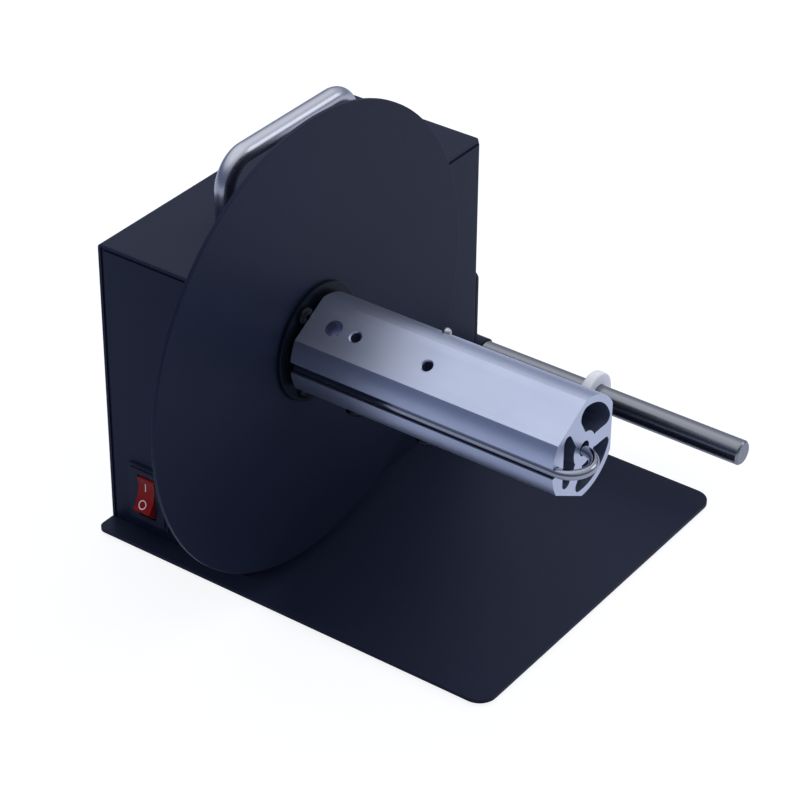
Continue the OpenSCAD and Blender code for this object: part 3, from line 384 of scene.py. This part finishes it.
def turnedMesh(name, rings, sides):
    # rings of (radius, height, hexagonal) from the lower centre to the upper centre, in mm
    skin = bmesh.new()
    rows = []
    for radius, height, hexagonal in rings:
        if radius == 0:
            rows.append([skin.verts.new((0, 0, height * mm))])
            continue
        row = []
        for i in range(sides):
            angle = 2 * math.pi * i / sides
            reach = radius
            if hexagonal:
                reach = radius * math.cos(math.pi / 6) / math.cos(angle % (math.pi / 3) - math.pi / 6)
            row.append(skin.verts.new((reach * math.cos(angle) * mm, reach * math.sin(angle) * mm, height * mm)))
        rows.append(row)
    for low, high in zip(rows, rows[1:]):
        for i in range(sides):
            j = (i + 1) % sides
            ring = [low[i % len(low)], low[j % len(low)], high[j % len(high)], high[i % len(high)]]
            skin.faces.new(list(dict.fromkeys(ring)))
    bmesh.ops.recalc_face_normals(skin, faces=skin.faces)
    for face in skin.faces:
        face.smooth = True
    mesh = bpy.data.meshes.new(name)
    skin.to_mesh(mesh)
    skin.free()
    mesh.set_sharp_from_angle(angle=math.radians(turnedSharp))
    return mesh


# Geometry Nodes: one tree sets screws and feet out on points, one sweeps a bar along a path
def startTree(name, sockets):
    tree = bpy.data.node_groups.new(name, "GeometryNodeTree")
    tree.interface.new_socket("Geometry", in_out="INPUT", socket_type="NodeSocketGeometry")
    for label, kind in sockets:
        tree.interface.new_socket(label, in_out="INPUT", socket_type=kind)
    tree.interface.new_socket("Geometry", in_out="OUTPUT", socket_type="NodeSocketGeometry")
    return tree, addNode(tree, "NodeGroupInput").outputs


def endTree(tree, geometry, finish):
    plain = addNode(tree, "GeometryNodeRealizeInstances", {}, {"Geometry": geometry})
    painted = addNode(tree, "GeometryNodeSetMaterial", {}, {
        "Geometry": plain.outputs["Geometry"], "Material": finish})
    addNode(tree, "NodeGroupOutput", {}, {"Geometry": painted.outputs["Geometry"]})


def makeFastenerTree():
    tree, given = startTree("fastenerSet", [
        ("Fastener", "NodeSocketObject"), ("Turn seed", "NodeSocketInt"), ("Finish", "NodeSocketMaterial")])
    outward = addNode(tree, "GeometryNodeInputNamedAttribute", {"data_type": "FLOAT_VECTOR"}, {
        "Name": "outward"})
    aimed = addNode(tree, "FunctionNodeAlignRotationToVector", {"axis": "Z"}, {
        "Vector": outward.outputs["Attribute"]})
    angle = addNode(tree, "FunctionNodeRandomValue", {"data_type": "FLOAT"}, {
        2: 0.0, 3: 2 * math.pi, "Seed": given["Turn seed"]})
    spin = addNode(tree, "FunctionNodeAxisAngleToRotation", {}, {
        "Axis": (0, 0, 1), "Angle": angle.outputs[1]})
    turned = addNode(tree, "FunctionNodeRotateRotation", {"rotation_space": "LOCAL"}, {
        "Rotation": aimed.outputs["Rotation"], "Rotate By": spin.outputs["Rotation"]})
    shape = addNode(tree, "GeometryNodeObjectInfo", {}, {"Object": given["Fastener"]})
    placed = addNode(tree, "GeometryNodeInstanceOnPoints", {}, {
        "Points": given["Geometry"], "Instance": shape.outputs["Geometry"],
        "Rotation": turned.outputs["Rotation"]})
    endTree(tree, placed.outputs["Instances"], given["Finish"])
    return tree


def makeBarTree():
    tree, given = startTree("bentBar", [
        ("Bar radius", "NodeSocketFloat"), ("Sides", "NodeSocketInt"), ("Finish", "NodeSocketMaterial")])
    path = addNode(tree, "GeometryNodeMeshToCurve", {}, {"Mesh": given["Geometry"]})
    girth = addNode(tree, "GeometryNodeInputNamedAttribute", {"data_type": "FLOAT"}, {"Name": "girth"})
    section = addNode(tree, "GeometryNodeCurvePrimitiveCircle", {}, {
        "Resolution": given["Sides"], "Radius": given["Bar radius"]})
    swept = addNode(tree, "GeometryNodeCurveToMesh", {}, {
        "Curve": path.outputs["Curve"], "Profile Curve": section.outputs["Curve"],
        "Scale": girth.outputs["Attribute"], "Fill Caps": True})
    smooth = addNode(tree, "GeometryNodeSetShadeSmooth", {}, {"Geometry": swept.outputs["Mesh"]})
    endTree(tree, smooth.outputs["Geometry"], given["Finish"])
    return tree


def makeDialTree():
    tree, given = startTree("dialTicks", [
        ("Tick", "NodeSocketObject"), ("Ticks", "NodeSocketInt"), ("Ring radius", "NodeSocketFloat"),
        ("Sweep", "NodeSocketFloat"), ("Finish", "NodeSocketMaterial")])
    half = addNode(tree, "ShaderNodeMath", {"operation": "MULTIPLY_ADD"}, {
        0: given["Sweep"], 1: -0.5, 2: math.pi / 2})
    arc = addNode(tree, "GeometryNodeCurveArc", {"mode": "RADIUS"}, {
        "Resolution": given["Ticks"], "Radius": given["Ring radius"], "Start Angle": half.outputs[0],
        "Sweep Angle": given["Sweep"]})
    spots = addNode(tree, "GeometryNodeCurveToPoints", {"mode": "EVALUATED"}, {"Curve": arc.outputs["Curve"]})
    place = addNode(tree, "GeometryNodeInputPosition")
    aimed = addNode(tree, "FunctionNodeAlignRotationToVector", {"axis": "X"}, {"Vector": place.outputs["Position"]})
    shape = addNode(tree, "GeometryNodeObjectInfo", {}, {"Object": given["Tick"]})
    placed = addNode(tree, "GeometryNodeInstanceOnPoints", {}, {
        "Points": spots.outputs["Points"], "Instance": shape.outputs["Geometry"],
        "Rotation": aimed.outputs["Rotation"]})
    endTree(tree, placed.outputs["Instances"], given["Finish"])
    return tree


def growPiece(name, seed, tree, values):
    piece = linkMesh(name, seed)
    grower = piece.modifiers.new("grow", "NODES")
    grower.node_group = tree
    for item in tree.interface.items_tree:
        if item.in_out == "INPUT" and item.name in values:
            grower[item.identifier] = values[item.name]
    toPlainMesh(piece)
    skin = bmesh.new()
    skin.from_mesh(piece.data)
    bmesh.ops.recalc_face_normals(skin, faces=skin.faces)
    skin.to_mesh(piece.data)
    skin.free()
    return piece


fastenerTree = makeFastenerTree()
barTree = makeBarTree()


# folded steel, turned parts and mouldings that keep their CAD form
pocketed = ("switch_bezel", "power_rocker", "direction_bezel", "direction_rocker", "dc_inlet", "speed_pot",
            "core_set_screw")  # split before their edges are broken, so that their pockets stay open
softPieces = {
    # node: (piece, body, material, slot, edge radius in mm)
    "base_plate": ("basePlate", "base", powderCoat, "coated_steel", 0.35),
    "chassis": ("cabinetWalls", "base", powderCoat, "coated_steel", 0.25),
    "rear_cover": ("topAndBackCover", "base", powderCoat, "coated_steel", 0.3),
    "guard_plate": ("armSlotGuard", "base", powderCoat, "coated_steel", 0.35),
    "side_disc": ("sideDisc", "spindle", powderCoat, "coated_steel", 0.4),
    "hub": ("discHub", "spindle", blackAnodised, "black_anodised", 0.4),
    "clamp_flange": ("clampFlange", "spindle", blackAnodised, "black_anodised", 0.4),
    "core": ("windingCore", "spindle", clearAnodised, "clear_anodised", 0.35),
    "swing_arm": ("swingArm", "arm", powderCoat, "coated_steel", 0.5),
    "tension_rod": ("tensionRod", "arm", groundSteel, "ground_steel", 0.3),
    "spindle_shaft": ("spindleShaft", "spindle", groundSteel, "ground_steel", 0.3),
    "switch_bezel": ("powerSwitchBezel", "base", blackAbs, "black_plastic", 0.3),
    "power_rocker": ("powerRocker", "power", redRocker, "red_plastic", 0.8),
    "direction_bezel": ("directionSwitchBezel", "base", blackAbs, "black_plastic", 0.25),
    "direction_rocker": ("directionRocker", "direction", blackAbs, "black_plastic", 0.35),
    "dc_inlet": ("powerInlet", "base", blackAbs, "black_plastic", 0.25),
    "speed_knob": ("speedKnob", "speed", blackAbs, "black_plastic", 0.2),
    "pot_nut": ("speedControlNut", "base", zincPlate, "zinc_steel", 0.25),
    "speed_pot": ("speedControl", "base", zincPlate, "zinc_steel", 0.2),
    "guide_collar": ("guideCollar", "collar", nylon, "nylon", 0.4),
    "core_set_screw": ("coreSetScrew", "spindle", groundSteel, "zinc_steel", 0.2),
}
for node, (name, body, material, slotName, edge) in softPieces.items():
    seat(softCopy(node, name, edge), body, [node], material)
print("soft-edged pieces:", len(softPieces))


# bent bars: the carry handle and the hairpin wire
handlePlan = {"radius": 5.0, "y": 76.0, "legs": (-41.75, 53.25), "foot": 157.5, "bendZ": 175.5, "bend": 15.0,
              "sides": 40}
wirePlan = {"radius": 2.35, "z": spindleZ, "legs": (-77.4, -56.1), "root": 8.2, "bendY": -131.78, "hook": -99.8,
            "sides": 32}
tipTaper = ((0.0, 0.74), (0.15, 0.88), (0.45, 0.97), (0.9, 1.0))  # distance in mm from a cut end, share of the girth
bendSteps = 20


def arcPoints(centre, radius, start, stop):
    turns = [math.radians(start + (stop - start) * i / bendSteps) for i in range(bendSteps + 1)]
    return [(centre[0] + radius * math.cos(t), centre[1] + radius * math.sin(t)) for t in turns]


def pathMesh(name, flat, lift):
    # flat points run from end to end; lift turns a flat point into a place
    ends = [(flat[0], flat[1]), (flat[-1], flat[-2])]
    tips = []
    for tip, inner in ends:
        step = (Vector(inner) - Vector(tip)).normalized()
        tips.append([(Vector(tip) + step * away, girth) for away, girth in tipTaper])
    line = tips[0] + [(Vector(p), 1.0) for p in flat[1:-1]] + tips[1][::-1]
    mesh = bpy.data.meshes.new(name)
    mesh.from_pydata([Vector(lift(p)) * mm for p, girth in line], [(i, i + 1) for i in range(len(line) - 1)], [])
    mesh.attributes.new("girth", "FLOAT", "POINT").data.foreach_set("value", [girth for p, girth in line])
    return mesh


left, right = handlePlan["legs"]
flatHandle = [(left, handlePlan["foot"])]
flatHandle += arcPoints((left + handlePlan["bend"], handlePlan["bendZ"]), handlePlan["bend"], 180, 90)
flatHandle += arcPoints((right - handlePlan["bend"], handlePlan["bendZ"]), handlePlan["bend"], 90, 0)
flatHandle += [(right, handlePlan["foot"])]
handle = growPiece("carryHandle", pathMesh("carryHandle", flatHandle, lambda p: (p[0], handlePlan["y"], p[1])),
                   barTree, {"Bar radius": handlePlan["radius"] * mm, "Sides": handlePlan["sides"],
                             "Finish": stainless})
seat(handle, "base", ["carry_handle"])

outer, inner = wirePlan["legs"]
wireBend = (inner - outer) / 2
flatWire = [(outer, wirePlan["root"])]
flatWire += arcPoints((outer + wireBend, wirePlan["bendY"]), wireBend, 180, 360)
flatWire += [(inner, wirePlan["hook"])]
wire = growPiece("hairpinWire", pathMesh("hairpinWire", flatWire, lambda p: (p[0], p[1], wirePlan["z"])),
                 barTree, {"Bar radius": wirePlan["radius"] * mm, "Sides": wirePlan["sides"], "Finish": springWire})
seat(wire, "wire", ["retaining_wire"])
print("bent bars made")


# socket screws and feet, set out on points
screwSizes = {"m3": (3.0, 5.8, 1.8), "m4": (4.0, 7.4, 2.2), "m5": (5.0, 9.0, 2.5),
              "low": (4.0, 7.4, 1.0), "grip": (5.0, 8.0, 3.5)}  # thread, head and head height
screwSides = 36
threadPlan = {"pitch": 0.8, "groove": 0.35, "tip": 0.72, "lead": 0.4, "clear": 0.8, "neck": 0.5}
headPlan = {"chamfer": 0.12, "socket": 0.3, "socketFloor": 0.4, "socketRim": 0.14, "floorDip": 0.15,
            "dome": ((1.0, 0.56), (0.95, 0.76), (0.86, 0.91), (0.74, 1.0))}  # dome: shares of head radius and height
firstSeed, footSeed = 3, 1


def screwRings(size, length):
    thread, head, high = size[0] / 2, size[1] / 2, size[2]
    socket, floor, rim = headPlan["socket"] * size[0], headPlan["socketFloor"] * high, headPlan["socketRim"]
    rings = [(0, -length, False), (thread * threadPlan["tip"], -length, False)]
    at, crest = -length + threadPlan["lead"], True
    while at < -threadPlan["clear"]:
        rings.append((thread if crest else thread - threadPlan["groove"], at, False))
        at, crest = at + threadPlan["pitch"] / 2, not crest
    rings += [(thread, -threadPlan["neck"], False), (thread, 0, False)]
    rings += [(head - headPlan["chamfer"], 0, False), (head, headPlan["chamfer"], False)]
    rings += [(wide * head, up * high, False) for wide, up in headPlan["dome"]]
    rings += [(socket + rim, high, True), (socket, high - rim, True)]
    rings += [(socket, floor, True), (0, floor - headPlan["floorDip"], False)]
    return rings


def pointsMesh(name, places):
    mesh = bpy.data.meshes.new(name)
    mesh.from_pydata([Vector(at) * mm for at, outward in places], [], [])
    aims = [value for at, outward in places for value in outward]
    mesh.attributes.new("outward", "FLOAT_VECTOR", "POINT").data.foreach_set("vector", aims)
    return mesh


def setFasteners(name, body, nodes, finish, shape, places, seed):
    pattern = bpy.data.objects.new(name + "Pattern", shape)
    piece = growPiece(name, pointsMesh(name, places), fastenerTree, {
        "Fastener": pattern, "Turn seed": seed, "Finish": finish})
    bpy.data.objects.remove(pattern)
    seat(piece, body, nodes)


def ringPlaces(radius, angles, y, outward):
    places = []
    for angle in angles:
        turn = math.radians(angle)
        places.append(((spindleX + radius * math.cos(turn), y, spindleZ + radius * math.sin(turn)), outward))
    return places


front, rear, rightward, down = (0, -1, 0), (0, 1, 0), (1, 0, 0), (0, 0, -1)
underCore = (math.cos(math.radians(240)), 0, math.sin(math.radians(240)))
postGrid = [(x, z) for x in (-22, 22) for z in (-22, 22)]
coreFlat = 21.8  # from the spindle to the core's flats
screwRows = {
    # piece: (body, node, size, length, finish, places)
    "coverScrews": ("base", "cover_screws", "m3", 5.0, zincPlate, [
        ((x, 114, z), rear) for x in (-81.7, 93.2) for z in (21.98, 80.5, 139.02)]),
    "guardScrews": ("base", "guard_screws", "m3", 4.5, zincPlate, [
        ((102, 51.3, z), rightward) for z in (20.305, 48.065, 75.825)]),
    "housingScrews": ("base", "housing_screws", "m4", 5.5, zincPlate, ringPlaces(21, (0, 90, 180, 270), 30, front)),
    "postScrews": ("base", "post_screws", "m4", 10.0, zincPlate,
                   [((spindleX + x, 30, spindleZ + z), front) for x, z in postGrid]
                   + [((spindleX + x, 58, spindleZ + z), rear) for x, z in postGrid]),
    "baseScrews": ("base", "base_screws", "low", 5.5, zincPlate, [
        ((x, y, 1.5), down) for x, y in (
            (-81, 60.24), (-81, 86), (92.5, 60.24), (92.5, 86), (-31.95, 37.5), (43.45, 37.5))]),
    "bracketScrews": ("base", "bracket_screws", "low", 6.0, zincPlate, [
        ((x, 61, 1.5), down) for x in (54.693, 71.693)]),
    "flangeScrews": ("spindle", "flange_screws", "m5", 8.7, blackOxide, ringPlaces(22.5, (0, 120, 240), 12, front)),
    "gripScrews": ("spindle", "grip_screws", "grip", 10.0, blackOxide, [
        ((spindleX + coreFlat * underCore[0], y, spindleZ + coreFlat * underCore[2]), underCore)
        for y in (-16.8, -55.8)]),
    "rodScrew": ("arm", "rod_screw", "m5", 28.5, zincPlate, [((110, 43.5, 27.5), rear)]),
}
for seed, (name, (body, node, size, length, finish, places)) in enumerate(screwRows.items()):
    shape = turnedMesh(name + "Pattern", screwRings(screwSizes[size], length), screwSides)
    setFasteners(name, body, [node], finish, shape, places, firstSeed + seed)

footRings = [(0, 0, False), (5.6, 0, False), (6.4, 0.12, False), (6.9, 0.5, False), (7.0, 0.9, False),
             (7.0, 1.35, False), (6.85, 1.5, False), (0, 1.5, False)]
footSides = 48
footPlaces = [((x, y, 0), (0, 0, 1)) for x in (-86, 86) for y in (-100, 100)]
setFasteners("rubberFeet", "base", ["rubber_feet"], rubber,
             turnedMesh("rubberFeetPattern", footRings, footSides), footPlaces, footSeed)
print("screw rows:", len(screwRows))


# I and O on the power rocker, laid on its hollow face
rockerPlan = {"origin": (-88.5, 89.5, 25.5), "pivot": -3.0, "tilt": 15.0, "dip": 5.98, "dish": 16.56}
markPlan = {"film": 0.05, "sunk": 0.02, "weld": 0.001, "bar": (0.55, 4.3), "barAt": (-0.5, 4.05),
            "barSteps": 8, "ring": (2.25, 1.72), "ringAt": (-0.7, -4.9), "ringSides": 48}


def onRocker(x, y, lift):
    # x along the pivot, y up the face, lift out of it
    tilt = math.radians(rockerPlan["tilt"])
    run = math.sqrt(rockerPlan["dish"] ** 2 - y ** 2)
    depth = rockerPlan["dip"] + rockerPlan["dish"] - run
    y, depth = y - lift * y / rockerPlan["dish"], depth + lift * run / rockerPlan["dish"]
    up = y * math.cos(tilt) + depth * math.sin(tilt)
    out = depth * math.cos(tilt) - y * math.sin(tilt) + rockerPlan["pivot"]
    return Vector(rockerPlan["origin"]) + Vector((-out, -x, up))


def markMesh(name, faces, place):
    # flat faces in mm are given a film's thickness and then laid on the surface
    skin = bmesh.new()
    for face in faces:
        skin.faces.new([skin.verts.new((x, y, -markPlan["sunk"])) for x, y in face])
    bmesh.ops.remove_doubles(skin, verts=skin.verts, dist=markPlan["weld"])
    grown = bmesh.ops.extrude_face_region(skin, geom=skin.faces[:])
    lifted = [g for g in grown["geom"] if isinstance(g, bmesh.types.BMVert)]
    bmesh.ops.translate(skin, verts=lifted, vec=(0, 0, markPlan["film"] + markPlan["sunk"]))
    for corner in skin.verts:
        corner.co = place(*corner.co) * mm
    bmesh.ops.recalc_face_normals(skin, faces=skin.faces)
    mesh = bpy.data.meshes.new(name)
    skin.to_mesh(mesh)
    skin.free()
    return mesh


def barFaces(width, height, centre, steps):
    x, y = centre
    rows = [y - height / 2 + height * i / steps for i in range(steps + 1)]
    return [[(x - width / 2, low), (x + width / 2, low), (x + width / 2, high), (x - width / 2, high)]
            for low, high in zip(rows, rows[1:])]


def ringFaces(outer, inner, centre, sides):
    turns = [2 * math.pi * i / sides for i in range(sides)]
    turns.append(turns[0])
    faces = []
    for a, b in zip(turns, turns[1:]):
        loop = ((inner, a), (outer, a), (outer, b), (inner, b))
        faces.append([(centre[0] + r * math.cos(t), centre[1] + r * math.sin(t)) for r, t in loop])
    return faces


onMark = markMesh("onMark", barFaces(*markPlan["bar"], markPlan["barAt"], markPlan["barSteps"]), onRocker)
seat(linkMesh("onMark", onMark), "power", [], rockerInk)
offMark = markMesh("offMark", ringFaces(*markPlan["ring"], markPlan["ringAt"], markPlan["ringSides"]), onRocker)
seat(linkMesh("offMark", offMark), "power", [], rockerInk)
print("rocker marked")


# speed dial: ticks printed round the knob and a filled pointer groove
dialPlan = {"centre": (19.75, 36.5), "wall": 114.0, "radius": 13.6, "ticks": 11, "sweep": 300.0,
            "tick": (2.6, 0.5)}
pointerPlan = {"face": 131.1, "groove": 0.6, "from": 2.55, "to": 8.0, "width": 0.9, "steps": 4}


def tickMesh():
    length, width = dialPlan["tick"]
    return markMesh("tickPattern", barFaces(length, width, (0, 0), 1), lambda x, y, lift: Vector((x, y, lift)))


tickPattern = bpy.data.objects.new("tickPattern", tickMesh())
seedPoint = bpy.data.meshes.new("speedDial")
speedDial = growPiece("speedDial", seedPoint, makeDialTree(), {
    "Tick": tickPattern, "Ticks": dialPlan["ticks"], "Ring radius": dialPlan["radius"] * mm,
    "Sweep": math.radians(dialPlan["sweep"]), "Finish": markPaint})
bpy.data.objects.remove(tickPattern)
wallTurn = Matrix(((-1, 0, 0), (0, 0, 1), (0, 1, 0))).to_4x4()  # dial's x, y, z to the back wall's left, up, out
dialAt = Vector((dialPlan["centre"][0], dialPlan["wall"], dialPlan["centre"][1])) * mm
speedDial.data.transform(Matrix.Translation(dialAt) @ wallTurn)
seat(speedDial, "base", [])


def onKnob(x, y, lift):
    out = pointerPlan["face"] - pointerPlan["groove"] + lift
    return Vector((dialPlan["centre"][0] - x, out, dialPlan["centre"][1] + y))


middle = (pointerPlan["from"] + pointerPlan["to"]) / 2
pointer = barFaces(pointerPlan["width"], pointerPlan["to"] - pointerPlan["from"], (0, middle), pointerPlan["steps"])
seat(linkMesh("knobPointer", markMesh("knobPointer", pointer, onKnob)), "speed", [], markPaint)
print("speed dial printed")


# pieces that stay as their CAD nodes
plainNodes = {
    "grip_stud": zincPlate, "hub_set_screw": blackOxide,
    "handle_screws": zincPlate, "bearing_housing": zincPlate, "bearing_outer": stainless,
    "bearing_inner": stainless, "bearing_balls": stainless, "motor_posts": zincPlate,
    "motor_plate": zincPlate, "gearbox": zincPlate, "gearbox_screws": zincPlate, "motor_can": zincPlate,
    "motor_shaft": groundSteel, "arm_bracket": zincPlate, "pivot_bushes": bronze, "pivot_shaft": groundSteel,
    "pivot_clip": springWire, "sensor_flag": blackAbs, "position_sensor": blackAbs, "board_posts": zincPlate,
    "control_board": board, "board_screws": zincPlate, "capacitor": blackAbs, "heat_sink": clearAnodised,
    "terminal_block": board, "pot_shaft": groundSteel,
}
for node, material in plainNodes.items():
    for place in frame["nodes"][node].material_slots:
        place.material = material
print("CAD nodes dressed:", len(plainNodes))


# studio: a white floor that keeps the shadow, a sky brighter overhead and to the right, two soft lamps
studioPlan = {"floor": 6.0, "paper": ("#dbe2f2", "#e2e8f6"), "glow": 0.86, "keep": 0.3,
              "mirroredFront": 0.55, "mirroredRear": 0.1, "frontAt": -0.25, "rearAt": -0.02,
              "skyLow": "#5f6c8b", "skyHigh": "#f8f9fc", "skyMirrored": 0.05, "lean": 0.28, "from": 0.2, "to": 0.95,
              "softbox": (0.05, 0.25, 0.8), "softboxSize": 1.4, "softboxPower": 1.6,
              "side": (1.15, -0.95, 0.85), "sideSize": 0.8, "sidePower": 2.4, "aim": (0, 0, 0.1)}


def seenRay(tree, mirrored):
    # what the camera sees, straight, through glass or, less strongly, mirrored in metal
    ray = addNode(tree, "ShaderNodeLightPath").outputs
    mirror = addNode(tree, "ShaderNodeMath", {"operation": "MULTIPLY"}, {
        0: ray["Is Glossy Ray"], 1: mirrored})
    straight = addNode(tree, "ShaderNodeMath", {"operation": "MAXIMUM"}, {
        0: ray["Is Camera Ray"], 1: mirror.outputs[0]})
    return addNode(tree, "ShaderNodeMath", {"operation": "MAXIMUM"}, {
        0: straight.outputs[0], 1: ray["Is Transmission Ray"]}).outputs[0]


def makeFloor():
    half = studioPlan["floor"]
    mesh = bpy.data.meshes.new("studioFloor")
    mesh.from_pydata([(-half, -half, 0), (half, -half, 0), (half, half, 0), (-half, half, 0)], [], [(0, 1, 2, 3)])
    floor = linkMesh("studioFloor", mesh)
    material, tree, shader, place = startMaterial("whitePaperFloor", {
        "Specular IOR Level": 0.0, "Roughness": 0.9, "Emission Color": hexColor("#ffffff")})
    tone = addNode(tree, "ShaderNodeMix", {"data_type": "RGBA"}, {
        0: noise(tree, place, 30, 2.0), 6: hexColor(studioPlan["paper"][0]), 7: hexColor(studioPlan["paper"][1])})
    along = addNode(tree, "ShaderNodeSeparateXYZ", {}, {0: place}).outputs["Y"]
    mirrored = addNode(tree, "ShaderNodeMapRange", {"interpolation_type": "SMOOTHSTEP"}, {
        "Value": along, "From Min": studioPlan["frontAt"], "From Max": studioPlan["rearAt"],
        "To Min": studioPlan["mirroredFront"], "To Max": studioPlan["mirroredRear"]})
    seen = seenRay(tree, mirrored.outputs["Result"])
    share = addNode(tree, "ShaderNodeMapRange", {}, {"Value": seen, "To Min": 1.0, "To Max": studioPlan["keep"]})
    shaded = addNode(tree, "ShaderNodeVectorMath", {"operation": "SCALE"}, {
        0: tone.outputs[2], "Scale": share.outputs["Result"]})
    glow = addNode(tree, "ShaderNodeMath", {"operation": "MULTIPLY"}, {0: seen, 1: studioPlan["glow"]})
    tree.links.new(shaded.outputs[0], shader.inputs["Base Color"])
    tree.links.new(glow.outputs[0], shader.inputs["Emission Strength"])
    floor.data.materials.append(material)


def makeSky():
    world = bpy.data.worlds.new("paleStudio")
    bpy.context.scene.world = world
    world.use_nodes = True
    tree = world.node_tree
    tree.nodes.clear()
    direction = addNode(tree, "ShaderNodeTexCoord").outputs["Generated"]
    axes = addNode(tree, "ShaderNodeSeparateXYZ", {}, {0: direction}).outputs
    leaning = addNode(tree, "ShaderNodeMath", {"operation": "MULTIPLY_ADD"}, {
        0: axes["X"], 1: studioPlan["lean"], 2: axes["Z"]})
    rise = addNode(tree, "ShaderNodeMapRange", {"interpolation_type": "SMOOTHSTEP"}, {
        "Value": leaning.outputs[0], "From Min": studioPlan["from"], "From Max": studioPlan["to"]})
    tint = addNode(tree, "ShaderNodeMix", {"data_type": "RGBA"}, {
        0: rise.outputs["Result"], 6: hexColor(studioPlan["skyLow"]), 7: hexColor(studioPlan["skyHigh"])})
    shade = addNode(tree, "ShaderNodeMix", {"data_type": "RGBA"}, {
        0: seenRay(tree, studioPlan["skyMirrored"]), 6: tint.outputs[2], 7: hexColor("#ffffff")})
    glow = addNode(tree, "ShaderNodeBackground", {}, {"Color": shade.outputs[2], "Strength": 1.0})
    addNode(tree, "ShaderNodeOutputWorld", {}, {"Surface": glow.outputs[0]})


def makeLamp(name, place, size, power):
    lamp = bpy.data.lights.new(name, "AREA")
    lamp.shape, lamp.size, lamp.energy = "DISK", size, power
    holder = bpy.data.objects.new(name, lamp)
    holder.location = place
    holder.rotation_mode = "QUATERNION"
    holder.rotation_quaternion = (Vector(studioPlan["aim"]) - Vector(place)).to_track_quat("-Z", "Y")
    bpy.context.scene.collection.objects.link(holder)


makeFloor()
makeSky()
makeLamp("overheadSoftbox", studioPlan["softbox"], studioPlan["softboxSize"], studioPlan["softboxPower"])
makeLamp("sideFill", studioPlan["side"], studioPlan["sideSize"], studioPlan["sidePower"])
bpy.context.scene.view_settings.view_transform = "Standard"
print("studio lit")
